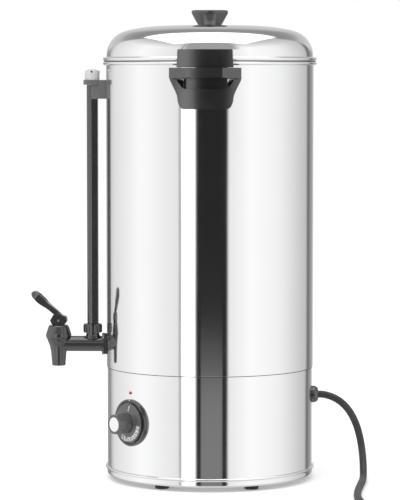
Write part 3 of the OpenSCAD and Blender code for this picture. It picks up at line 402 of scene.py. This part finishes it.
class Tree:
    # a Geometry Nodes tree with named inputs
    def __init__(self, name, **sizes):
        self.group = bpy.data.node_groups.new(name, "GeometryNodeTree")
        face = self.group.interface
        face.new_socket("Geometry", in_out="INPUT", socket_type="NodeSocketGeometry")
        face.new_socket("Geometry", in_out="OUTPUT", socket_type="NodeSocketGeometry")
        self.sizes, self.keys = sizes, {}
        for key, value in sizes.items():
            kind = {int: "NodeSocketInt", float: "NodeSocketFloat"}.get(type(value), "NodeSocketMaterial")
            self.keys[key] = face.new_socket(key, in_out="INPUT", socket_type=kind).identifier
        self.entry = self.group.nodes.new("NodeGroupInput")
        self.exit = self.group.nodes.new("NodeGroupOutput")

    def size(self, key):
        return self.entry.outputs[key]

    def start(self):
        return self.entry.outputs["Geometry"]

    def node(self, kind, settings=None, inputs=None, output=0):
        made = self.group.nodes.new(kind)
        for key, value in (settings or {}).items():
            setattr(made, key, value)
        for key, value in (inputs or {}).items():
            if isinstance(value, bpy.types.NodeSocket):
                self.group.links.new(value, made.inputs[key])
            else:
                made.inputs[key].default_value = value
        return made.outputs[output]

    def end(self, geometry, finish):
        real = self.node("GeometryNodeRealizeInstances", None, {"Geometry": geometry})
        coated = self.node("GeometryNodeSetMaterial", None, {"Geometry": real, "Material": finish})
        self.group.links.new(coated, self.exit.inputs["Geometry"])

    def grow(self, name, base, smoothAngle):
        # runs the tree on a mesh or curve and keeps the result as a plain mesh
        piece = bpy.data.objects.new(name, base)
        scene.collection.objects.link(piece)
        grown = piece.modifiers.new("grow", "NODES")
        grown.node_group = self.group
        for key, value in self.sizes.items():
            grown[self.keys[key]] = value
        mesh = plainMesh(piece)
        bpy.data.objects.remove(piece)
        mesh.name = name
        mesh.shade_smooth()
        mesh.set_sharp_from_angle(angle=math.radians(smoothAngle))
        done = bpy.data.objects.new(name, mesh)
        scene.collection.objects.link(done)
        return done


def smoothPath(points, steps):
    # Catmull-Rom through the points, in the points' own unit
    out = []
    for i in range(len(points) - 1):
        p0, p1 = Vector(points[max(i - 1, 0)]), Vector(points[i])
        p2, p3 = Vector(points[i + 1]), Vector(points[min(i + 2, len(points) - 1)])
        for s in range(steps):
            t = s / steps
            out.append(0.5 * (2 * p1 + (p2 - p0) * t + (2 * p0 - 5 * p1 + 4 * p2 - p3) * t * t
                              + (3 * p1 - p0 - 3 * p2 + p3) * t ** 3))
    return out + [Vector(points[-1])]


def tubeAlong(name, points, diameter, finish, sides, smoothAngle):
    # a round tube along points in metres
    line = bpy.data.curves.new(name + "Line", "CURVE")
    line.dimensions = "3D"
    spline = line.splines.new("POLY")
    spline.points.add(len(points) - 1)
    for knot, point in zip(spline.points, points):
        knot.co = (*point, 1)
    tree = Tree(name + "Tree", diameter=float(diameter), sides=sides)
    radius = tree.node("ShaderNodeMath", {"operation": "MULTIPLY"}, {0: tree.size("diameter"), 1: 0.5})
    ring = tree.node("GeometryNodeCurvePrimitiveCircle", None, {"Resolution": tree.size("sides"), "Radius": radius})
    tube = tree.node("GeometryNodeCurveToMesh", None, {"Curve": tree.start(), "Profile Curve": ring, "Fill Caps": True})
    tree.end(tube, finish)
    return tree.grow(name, line, smoothAngle)


print("supply cord")
lead = {
    "diameter": 9.0,
    "rest": 4.6,           # height of its middle where it lies on the floor
    "coilCentre": (350, 150),
    "coilRadius": 59.0,
    "coilPitch": 9.6,      # from one turn to the next
    "coilLayer": 9.5,      # how much higher the upper turns lie
    "coilTurns": 4,
    "climb": 0.5,          # turns over which it rises to the upper layer
    "coilSteps": 24,       # points in a turn
    "plugHeight": 18.6, "plugEdge": 0.8,
    "pathSteps": 3, "sides": 20, "smoothAngle": 60,
    # from the gland to the coil
    "route": [
        (0, 137, 106), (0, 145, 105.4), (0, 155, 102.4), (0, 164.5, 97), (0, 173, 89), (0, 180, 78.6),
        (0, 185.6, 66), (0, 189.4, 52.6), (1.4, 191.8, 39.6), (5.8, 193.2, 27.8), (13.4, 193.8, 17.6),
        (24.4, 193.8, 9.8), (38, 193.2, 5.7), (54, 192, 4.6), (75, 190.2, 4.6), (97, 188.2, 4.6),
        (120, 186.2, 4.6), (143, 184.8, 4.6), (166, 184, 4.6), (190, 184.6, 4.6), (214, 187, 4.6),
        (238, 191, 4.6), (262, 196, 4.6), (286, 201.4, 4.6), (310, 206, 4.6), (330, 208.6, 4.6),
        (341, 209, 4.6), (350, 209, 4.6)],
}


def coilPoint(t):
    # a point after t turns: inwards on the floor, then outwards on top
    half = lead["coilTurns"] / 2
    radius = lead["coilRadius"] - lead["coilPitch"] * (t if t < half else lead["coilTurns"] - t)
    angle = math.radians(90 - 360 * t)
    s = max(0, min(1, (t - half + lead["climb"] / 2) / lead["climb"]))
    return (lead["coilCentre"][0] + radius * math.cos(angle), lead["coilCentre"][1] + radius * math.sin(angle),
            lead["rest"] + lead["coilLayer"] * s * s * (3 - 2 * s))


def supplyCord():
    steps = lead["coilSteps"]
    x, y = lead["coilCentre"][0], lead["coilCentre"][1] + lead["coilRadius"]
    upper = lead["rest"] + lead["coilLayer"]
    # the route, the coil, and off it up into the plug
    points = lead["route"] + [coilPoint(i / steps) for i in range(1, lead["coilTurns"] * steps)] + [
        (x, y, upper), (x + 9, y, upper + 0.6), (x + 18, y, lead["plugHeight"] - 1.6),
        (x + 26, y, lead["plugHeight"]), (x + 35, y, lead["plugHeight"])]
    path = [p * mm for p in smoothPath(points, lead["pathSteps"])]
    length = sum((b - a).length for a, b in zip(path, path[1:]))
    piece = tubeAlong("supplyCord", path, lead["diameter"] * mm, finishOf["cord_rubber"], lead["sides"],
                      lead["smoothAngle"])
    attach(piece, "urn")
    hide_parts("power_cord", "cord_coil")
    plug = softened("plug_body", "plugBody", lead["plugEdge"])
    # the tank doesn't mirror them
    for part in (piece, plug, nodes["plug_pins"]):
        part.visible_glossy = False
    print("cord length", round(length, 3))


supplyCord()


print("studio")
studio = {
    "room": 0.86,          # what diffuse light sees all round
    # brightness that shiny surfaces see, by direction round the urn in degrees: 0 is towards
    # the camera, positive towards the camera's right
    "walls": [
        (-180, 0.9), (-172, 0.55), (-160, 0.3), (-150, 0.3), (-143, 0.62), (-134, 0.8), (-101, 0.97), (-85, 1.08),
        (-70, 1.05), (-57, 0.98), (-45, 0.93), (-35.5, 0.88), (-34.2, 0.86), (-33.3, 0.2), (-32.2, 0.2),
        (-31.4, 1.6), (-16.4, 1.6), (-15.0, 0.02), (19.0, 0.02), (20.6, 0.92), (25, 0.94), (46, 1.1), (71, 1.03),
        (85, 0.97), (102, 0.82), (121, 0.66), (134, 0.58), (141, 0.14), (147, 0.26), (156, 0.36), (165, 0.55),
        (180, 0.9)],
    # the same behind the urn, by height in degrees above the horizon
    "behind": [(0, 0.72), (8, 0.66), (22, 0.55), (30, 0.36), (42, 0.27), (50, 0.33), (62, 0.4), (90, 0.4)],
    # edges of the room's other zones, in degrees up or round: where an edge is and how soft it is
    "gapMiddle": 2,
    "gapSide": (17.2, 0.7),
    "gapTop": (14, 1.5),
    "gapFloorSide": (11.9, 0.9),
    "gapFloorTop": (-6.3, 1.2),
    "sidesTop": (43, 24),
    "frontSide": (33, 10),
    "frontTop": (25, 3),
    "behindSide": (156, 5),
    "behindLow": (5, 6),
    "behindLean": 0.76,    # how much wider the part behind the urn gets with height
    "ceilingLow": (56, 8),
    "floorTop": (-38, 20),
    # and how bright each of them is
    "levels": {
        "gapFloor": 0.22, "gapCeiling": 0.9, "sides": 0.5, "front": 0.38, "ceiling": 0.36, "box": 1.9,
        "floor": 0.72},
    # the box overhead: its far and near edge and half across, as slopes from straight up
    "box": (-0.577, 0.62, 0.74),
    "boxBlur": (0.012, 0.03, 0.012),
    "boxLow": (0.3, 0.05),
    "lamp": {"place": (0.9, -0.4, 2.4), "aim": (0, 0, 0.3), "size": 2.2, "power": 26},
    "floorRadius": 9, "floorGlow": 0.17,
}


def buildWorld():
    world = bpy.data.worlds.new("studio")
    scene.world = world
    world.use_nodes = True
    w = Finish("studio", world.node_tree)
    s = studio
    shade = {zone: grey(tone) for zone, tone in s["levels"].items()}
    way = w.node("ShaderNodeTexCoord", output="Generated")
    parts = w.node("ShaderNodeSeparateXYZ", {}, [way])
    x, y, z = (Value(w, parts.socket.node.outputs[i]) for i in range(3))
    turn = math.radians(shot["azimuth"])
    front = x * math.cos(turn) + y * math.sin(turn)
    across = abs(y * math.cos(turn) - x * math.sin(turn))
    rise = w.node("ShaderNodeMath", {"operation": "ARCSINE"}, [z]) * (180 / math.pi)
    # 0 to 1 round the urn, with the camera at the middle
    around = w.node("ShaderNodeMath", {"operation": "ARCTAN2"}, [y, x])
    turned = w.node("ShaderNodeMath", {"operation": "FRACT"},
                    [(around * (180 / math.pi) - shot["azimuth"] + 180) / 360])
    peak = max(tone for angle, tone in s["walls"])
    stops = [((angle + 180) / 360, tone / peak) for angle, tone in s["walls"]]
    walls = w.node("ShaderNodeValToRGB", {"stops": stops}, [turned])
    level = w.node("ShaderNodeVectorMath", {"operation": "SCALE"}, {0: walls, "Scale": peak})
    fromFront = abs(turned * 360 - 180)
    # the dark gap between the front panels ends on the pale floor, and under a pale strip of ceiling
    fromGap = abs(turned * 360 - (180 + s["gapMiddle"]))
    inGap = 1 - fromGap.above(*s["gapSide"])
    onFloor = 1 - fromGap.above(*s["gapFloorSide"])
    level = w.mix((1 - rise.above(*s["gapFloorTop"])) * onFloor, level, shade["gapFloor"])
    level = w.mix(rise.above(*s["gapTop"]) * inGap, level, shade["gapCeiling"])
    # side panels dim upwards, and the room is darker over the camera and behind the urn
    level = w.mix(rise.above(*s["sidesTop"]), level, shade["sides"])
    level = w.mix(rise.above(*s["frontTop"]) * (1 - fromFront.above(*s["frontSide"])), level, shade["front"])
    stops = [(angle / 90, tone) for angle, tone in s["behind"]]
    behind = w.node("ShaderNodeValToRGB", {"stops": stops}, [rise / 90])
    leaning = fromFront + rise * s["behindLean"]
    level = w.mix(rise.above(*s["behindLow"]) * leaning.above(*s["behindSide"]), level, behind)
    level = w.mix(rise.above(*s["ceilingLow"]), level, shade["ceiling"])
    far, near, side = s["box"]
    farBlur, nearBlur, sideBlur = s["boxBlur"]
    lengthwise = (front - z * far).above(0, farBlur) * (1 - (front - z * near).above(0, nearBlur))
    box = lengthwise * (1 - (across - z * side).above(0, sideBlur)) * z.above(*s["boxLow"])
    level = w.mix(box, level, shade["box"])
    level = w.mix(1 - rise.above(*s["floorTop"]), level, shade["floor"])
    fromCamera = w.node("ShaderNodeLightPath", output="Is Camera Ray")
    throughGlass = w.node("ShaderNodeLightPath", output="Is Transmission Ray")
    shiny = w.node("ShaderNodeLightPath", output="Is Glossy Ray")
    seen = w.mix(shiny, grey(s["room"]), level)
    seen = w.mix((fromCamera + throughGlass).held(), seen, grey(1.0))
    back = w.node("ShaderNodeBackground", {}, {"Color": seen, "Strength": 1.0})
    w.node("ShaderNodeOutputWorld", {}, {"Surface": back})


def softLamp(name, place, aim, size, power):
    # lights the urn, and isn't mirrored in it
    data = bpy.data.lights.new(name, "AREA")
    data.shape, data.size, data.size_y, data.energy = "RECTANGLE", size, size, power
    data.specular_factor = 0.0
    lamp = bpy.data.objects.new(name, data)
    scene.collection.objects.link(lamp)
    lamp.location = place
    lamp.rotation_euler = (Vector(aim) - Vector(place)).to_track_quat("-Z", "Y").to_euler()
    lamp.visible_glossy = False


def studioFloor():
    f = Finish("paper")
    cloud = f.noise(3, 2, 0.5)
    f.surface(Base_Color=f.mix(cloud, grey(0.985), grey(0.99)), Roughness=0.9, Specular_IOR_Level=0.0,
              Emission_Color=grey(1.0), Emission_Strength=studio["floorGlow"])
    bm = bmesh.new()
    bmesh.ops.create_circle(bm, cap_ends=True, segments=96, radius=studio["floorRadius"])
    floor = newPiece("paperFloor", bm, f.material)
    floor.visible_glossy = False


buildWorld()
studioFloor()
softLamp("overhead", **studio["lamp"])


print("tank and base")
tank = {
    "outer": 130.0, "inner": 129.1, "low": 142.0, "rim": 524.6, "bead": 2.4,
    "skirtOuter": 129.0, "skirtInner": 128.2, "skirtLow": 13.0, "skirtTop": 149.0,
    "segments": 256, "beadSteps": 22,
    # where the sheets are cut into rows of faces: on the tank's outside from its lower edge, else as heights
    "rows": 9, "firstRow": 2, "rowStep": 47, "insideRows": [500, 330, 160],
    "skirtRows": [20, 30, 52, 74, 96, 118, 140], "skirtInsideRow": 80,
}
band = {                   # the base's rolled band, as (r, z), with its arcs as centre r, centre z and radius
    "foot": [(115.2, 7.7), (124.8, 7.7), (125.1, 6.1)],
    "footArc": (126.6, 9, 3),
    "face": [(129.6, 12), (129.6, 13.6), (129.9, 14.0)],
    "beadArc": (130.0, 15.5, 1.5),
    "inside": [(129.15, 17), (129.15, 13), (128.1, 13), (128.1, 16.9), (125.1, 16.9), (124.8, 10.1), (115.2, 10.1)],
}


def tankShell():
    t = tank
    beadR, beadZ = t["inner"] + t["bead"], t["rim"] - t["bead"]
    offset = t["outer"] - beadR
    drop = math.sqrt(t["bead"] ** 2 - offset ** 2)
    start = math.degrees(math.atan2(-drop, offset))
    inner, outer, low = t["inner"], t["outer"], t["low"]
    # a slightly rounded lower edge, the wall, the rolled rim and the wall's inner side
    profile = [(inner, low + 0.2), (inner + 0.25, low), (outer - 0.3, low), (outer - 0.08, low + 0.1),
               (outer, low + 0.35), (outer, low + 0.8)]
    profile += [(outer, low + t["firstRow"] + i * t["rowStep"]) for i in range(t["rows"])]
    profile += [(outer, beadZ - drop - 0.5)] + arcPoints(beadR, beadZ, t["bead"], start, 180, t["beadSteps"])
    profile += [(inner, z) for z in t["insideRows"]]
    piece = lathe("tankShell", profile, finishOf["stainless_steel"], t["segments"], looped=True)
    piece.data.materials.append(tankInside)
    for face in piece.data.polygons:
        middle = face.center
        inwards = face.normal.x * middle.x + face.normal.y * middle.y < 0
        if inwards and math.hypot(middle.x, middle.y) < inner * mm:
            face.material_index = 1      # tankInside
    return standsFor(piece, "tank_shell")


def baseSkirt():
    t = tank
    low, top = t["skirtLow"], t["skirtTop"]
    profile = [(t["skirtOuter"], z) for z in (low, *t["skirtRows"], top)]
    profile += [(t["skirtInner"], z) for z in (top, t["skirtInsideRow"], low)]
    piece = lathe("baseSkirt", profile, finishOf["stainless_steel"], t["segments"], looped=True)
    return standsFor(piece, "base_skirt")


def baseRing():
    # rolled band with a bead on its upper edge, and an inner flange that carries the base plate
    profile = band["foot"] + arcPoints(*band["footArc"], -90, 0, 10) + band["face"]
    profile += arcPoints(*band["beadArc"], -90, 90, 14) + band["inside"]
    piece = lathe("baseRing", profile, finishOf["stainless_steel"], tank["segments"], looped=True)
    return standsFor(piece, "base_ring")


tankShell()
baseSkirt()
baseRing()


print("lid")
lid = {
    "low": 524.9, "height": 45.3, "outer": 129.3, "wall": 0.8, "bead": 2.7,
    "radii": [1700, 230, 76],               # of the dome's arcs, from the crown outwards
    "slopes": [0, 2.03, 11.5, 19.3, 90],    # where each arc starts, and where the last one ends
    "domeSteps": (5, 12, 8, 34), "insideSteps": (3, 5, 4, 20), "beadSteps": 26,
    "spigot": 128.45, "spigotHeight": 12.0, "spigotTop": 529.3,      # the ring's outer radius and its height
    "knobRadius": 23.0, "knobHeight": 18.2, "knobGap": 0.15,
    # the knob's outline: shares of its radius, with heights over its foot, then with depths under its top
    "knobSide": [(0.64, 0), (0.65, 0.4), (0.69, 1.9), (0.77, 5), (0.855, 8.6), (0.925, 11.6), (0.975, 13.9),
                 (0.997, 15.2), (0.994, 16.6), (0.968, 17.7)],
    "knobTop": [(0.92, 0), (0.83, 0), (0.78, 0.2), (0.73, 0.7), (0.62, 0.88), (0.35, 0.9)],
    "knobDish": 0.9, "knobBore": 2.55, "knobBoreShare": 0.74,
}
shadows = {                # painted shade: dark rings put where the crevices between sheets lie in shade; the body they ride on, and their outline
    "lidRimShade": ("lid", [(131.0, 524.62), (132.0, 524.55), (132.6, 524.36), (132.6, 525.26), (132.0, 525.05),
                        (131.0, 524.88)]),
    "seamShadow": ("urn", [(129.02, 141.3), (129.65, 141.3), (129.65, 141.98), (129.02, 141.98)]),
}


def sine(angle):
    return math.sin(math.radians(angle))


def domeArcs():
    # (centre r, centre z, radius) of each arc
    slopes, radii = lid["slopes"], list(lid["radii"])
    run = sum(radius * (sine(b) - sine(a)) for radius, a, b in zip(radii, slopes, slopes[1:]))
    radii.append((lid["outer"] - run) / (1 - sine(slopes[3])))
    arcs = [(0.0, lid["low"] + lid["height"] - radii[0], radii[0])]
    for before, radius, slope in zip(radii, radii[1:], slopes[1:]):
        r, z, _ = arcs[-1]
        arcs.append((r + (before - radius) * sine(slope), z + (before - radius) * sine(90 - slope), radius))
    return arcs


def domeLine(inward, counts):
    # the dome's profile from the middle outwards, moved in by a wall's thickness
    line = []
    for (r, z, radius), a, b, count in zip(domeArcs(), lid["slopes"], lid["slopes"][1:], counts):
        line += arcPoints(r, z, radius - inward, 90 - a, 90 - b, count)[1 if line else 0:]
    return [(0.0, line[0][1])] + line[1:]


def lidShell():
    d = lid
    beadR, beadZ = d["outer"] - d["wall"] + d["bead"], d["low"] + d["bead"]
    reach = d["outer"] - beadR
    rise = math.sqrt(d["bead"] ** 2 - reach ** 2)
    profile = domeLine(0, d["domeSteps"]) + [(d["outer"], beadZ + rise + 0.5)]
    profile += arcPoints(beadR, beadZ, d["bead"], math.degrees(math.atan2(rise, reach)), -180, d["beadSteps"])
    profile += domeLine(d["wall"], d["insideSteps"])[::-1]
    return standsFor(lathe("lidShell", profile, finishOf["stainless_steel"], tank["segments"]), "lid_shell")


def lidSpigot():
    outer, low, top = lid["spigot"], lid["low"] - lid["spigotHeight"], lid["spigotTop"]
    inner = outer - lid["wall"]
    profile = [(inner, low), (inner + 0.3, low - 0.02), (outer - 0.1, low + 1.2), (outer, low + 1.5), (outer, top),
               (inner, top)]
    piece = lathe("lidSpigot", profile, finishOf["stainless_steel"], tank["segments"], looped=True)
    return standsFor(piece, "lid_spigot")


def lidKnob():
    base, r, h = lid["low"] + lid["height"] + lid["knobGap"], lid["knobRadius"], lid["knobHeight"]
    outline = [(r * share, base + up) for share, up in lid["knobSide"]]
    outline += [(r * share, base + h - down) for share, down in lid["knobTop"]]
    curved = [(p.x, p.z) for p in smoothPath([(a, 0, b) for a, b in outline], 4)]
    bore, boreTop = lid["knobBore"], base + h * lid["knobBoreShare"]
    profile = [(0, base + h - lid["knobDish"])] + curved[::-1] + [(bore, base), (bore, boreTop), (0, boreTop)]
    return standsFor(lathe("lidKnob", profile, finishOf["black_plastic"], 96, smoothAngle=50), "lid_knob")


def shadowLine(name):
    # a ring of painted shade, dark rubber set in a crevice between sheets where shade falls
    body, profile = shadows[name]
    piece = lathe(name, profile, finishOf["rubber"], tank["segments"], looped=True)
    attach(piece, body)


lidSpigot()
# painted shade under the lid's rim and in the seam above the skirt
shadowLine("lidRimShade")
shadowLine("seamShadow")
lidShell()
lidKnob()


print("moulded fittings")
fittings = {
    # node: name, how far its edges are rounded
    "handle_right": ("handleRight", 0.6), "handle_left": ("handleLeft", 0.6),
    "lid_lug_right": ("lidLugRight", 0.4), "lid_lug_left": ("lidLugLeft", 0.4),
    "tap_body": ("tapBody", 0.4), "tap_cap": ("tapCap", 0.4), "tap_lever": ("tapLever", 0.5),
    "gauge_guard": ("gaugeGuard", 0.5), "gauge_bracket": ("gaugeBracket", 0.5), "vent_cap": ("ventCap", 0.3),
    "dial_bezel": ("dialBezel", 0.4), "thermostat_knob": ("thermostatKnob", 0.4),
    "cord_gland": ("cordGland", 0.4), "gland_nut": ("glandNut", 0.4),
    "thermostat_body": ("thermostatBody", 0.6), "cutout_body": ("cutoutBody", 0.6),
    "terminal_block": ("terminalBlock", 0.6),
    "heat_spreader": ("heatSpreader", 0.8), "base_plate": ("basePlate", 0.3),
}
for node, (name, width) in fittings.items():
    softened(node, name, width, finish=ownFinish.get(node))


def tapSpring():
    # a plain copy of the spring's mesh, riding on the spring's body
    piece = bpy.data.objects.new("tapSpring", nodes["tap_spring"].data.copy())
    scene.collection.objects.link(piece)
    piece.matrix_world = nodes["tap_spring"].matrix_world.copy()
    standsFor(piece, "tap_spring")
    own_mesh(piece)


tapSpring()


print("repeated fasteners and feet")
repeats = {
    # node: name, azimuth of the first, how many round the urn, edge rounding
    "rubber_feet": ("rubberFeet", 30, 6, 0.5),
    "foot_screws": ("footScrews", 30, 6, 0.2),
    "base_screws": ("baseScrews", 0, 3, 0.25),
    "handle_screws": ("handleScrews", 0, 2, 0.3),
    "lug_rivets": ("lugRivets", 0, 2, 0.3),
}


def turnedCopies(node):
    # one of a node's equal pieces, rounded and copied round the urn's axis
    name, azimuth, count, width = repeats[node]
    first = math.radians(azimuth)
    bm = bmesh.new()
    bm.from_mesh(nodes[node].data)
    bmesh.ops.remove_doubles(bm, verts=bm.verts, dist=edges["merge"])
    others = [v for v in bm.verts
              if abs((math.atan2(v.co.y, v.co.x) - first + math.pi) % (2 * math.pi) - math.pi) > math.pi / count]
    bmesh.ops.delete(bm, geom=others, context="VERTS")
    bmesh.ops.dissolve_limit(bm, angle_limit=math.radians(edges["flat"]), verts=bm.verts, edges=bm.edges)
    one = newPiece(name + "One", bm, finishOf[slotOf[node]])
    roundEdges(one, width)
    applyModifiers(one)
    tree = Tree(name + "Tree", count=count, step=2 * math.pi / count, finish=finishOf[slotOf[node]])
    index = tree.node("GeometryNodeInputIndex")
    angle = tree.node("ShaderNodeMath", {"operation": "MULTIPLY"}, {0: index, 1: tree.size("step")})
    turn = tree.node("ShaderNodeCombineXYZ", None, {"Z": angle})
    places = tree.node("GeometryNodePoints", None, {"Count": tree.size("count"), "Radius": 0.001})
    copies = tree.node("GeometryNodeInstanceOnPoints", None,
                       {"Points": places, "Instance": tree.start(), "Rotation": turn})
    tree.end(copies, tree.size("finish"))
    mesh = one.data.copy()
    bpy.data.objects.remove(one)
    return standsFor(tree.grow(name, mesh, edges["smooth"]), node)


for node in repeats:
    turnedCopies(node)


print("thermostat's markings")
dial = {
    "azimuth": -47.0, "height": 80.0,
    "discTop": 134.8, "flatRadius": 15.7, "edgeRadius": 24.5, "edgeDrop": 1.8,
    "figures": [30, 40, 50, 60, 70, 80, 90, 100, 110],
    "from": 102.0, "step": 13.4, "figureRadius": 20.0, "figureHeight": 3.9,
    "letterSize": 1.38,    # of the typeface, for a figure of height 1
    "letterDepth": 0.02,
    "letterWeight": 0.14,  # added to the strokes
    "turned": 9.0,         # how far round the pointer stands from the top
    "pointer": (1.2, 4.0), "pointerRadius": 20.0,
    "dot": 2.0, "dotRadius": 16.4, "dotCorners": 20,
    "bezelRadius": 27.75, "bezelFront": 131.0, "bezelMark": (1.1, 2.0),
    "markDepth": 0.04, "lift": 0.06,
}


def discPlace(angle, radius):
    # a place on the disc's sloping face or the bezel, with up pointing outwards, angles clockwise from the top
    az = math.radians(dial["azimuth"])
    out = Vector((math.cos(az), math.sin(az), 0))
    right = Vector((-math.sin(az), math.cos(az), 0))
    up = Vector((0, 0, 1))
    a = math.radians(angle)
    away = up * math.cos(a) + right * math.sin(a)
    slope = math.atan2(dial["edgeDrop"], dial["edgeRadius"] - dial["flatRadius"])
    depth = dial["discTop"] - (radius - dial["flatRadius"]) * math.tan(slope) + dial["lift"]
    if radius > dial["edgeRadius"]:
        slope, depth = 0.0, dial["bezelFront"] + dial["lift"]
    upright = away * math.cos(slope) - out * math.sin(slope)
    facing = out * math.cos(slope) + away * math.sin(slope)
    side = upright.cross(facing)
    place = (out * depth + away * radius + up * dial["height"]) * mm
    return Matrix.Translation(place) @ Matrix((side, upright, facing)).transposed().to_4x4()


def figureMesh(text):
    curve = bpy.data.curves.new("figure", "FONT")
    curve.body = text
    curve.align_x, curve.align_y = "CENTER", "CENTER"
    curve.size = dial["figureHeight"] * mm * dial["letterSize"]
    curve.extrude = dial["letterDepth"] * mm
    curve.offset = dial["letterWeight"] * mm
    piece = bpy.data.objects.new("figure", curve)
    scene.collection.objects.link(piece)
    mesh = plainMesh(piece)
    bpy.data.objects.remove(piece)
    return mesh


def meshOf(bm):
    mesh = bpy.data.meshes.new("mark")
    bm.to_mesh(mesh)
    bm.free()
    return mesh


def barMesh(width, length):
    bm = bmesh.new()
    bmesh.ops.create_cube(bm, size=1, matrix=Matrix.Diagonal((width * mm, length * mm, dial["markDepth"] * mm, 1)))
    return meshOf(bm)


def dotMesh(width):
    bm = bmesh.new()
    radius = width / 2 * mm
    bmesh.ops.create_cone(bm, cap_ends=True, segments=dial["dotCorners"], radius1=radius, radius2=radius,
                          depth=dial["markDepth"] * mm)
    return meshOf(bm)


def markPiece(name, marks, body, slot):
    # marks are pairs of a mesh and its place
    bm = bmesh.new()
    for mesh, place in marks:
        mesh.transform(place)
        bm.from_mesh(mesh)
    piece = newPiece(name, bm, finishOf[slot])
    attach(piece, body)


alongRadius = Matrix.Rotation(math.radians(90), 4, "Z")
figures = [(figureMesh(str(figure)), discPlace(dial["from"] + dial["step"] * k, dial["figureRadius"]) @ alongRadius)
           for k, figure in enumerate(dial["figures"])]
pointer = [(barMesh(*dial["pointer"]), discPlace(dial["turned"], dial["pointerRadius"])),
           (dotMesh(dial["dot"]), discPlace(dial["turned"], dial["dotRadius"]))]
markPiece("dialScale", figures + pointer, "dial", "white_plastic")
markPiece("bezelMark", [(barMesh(*dial["bezelMark"]), discPlace(0, dial["bezelRadius"]))], "urn", "white_plastic")
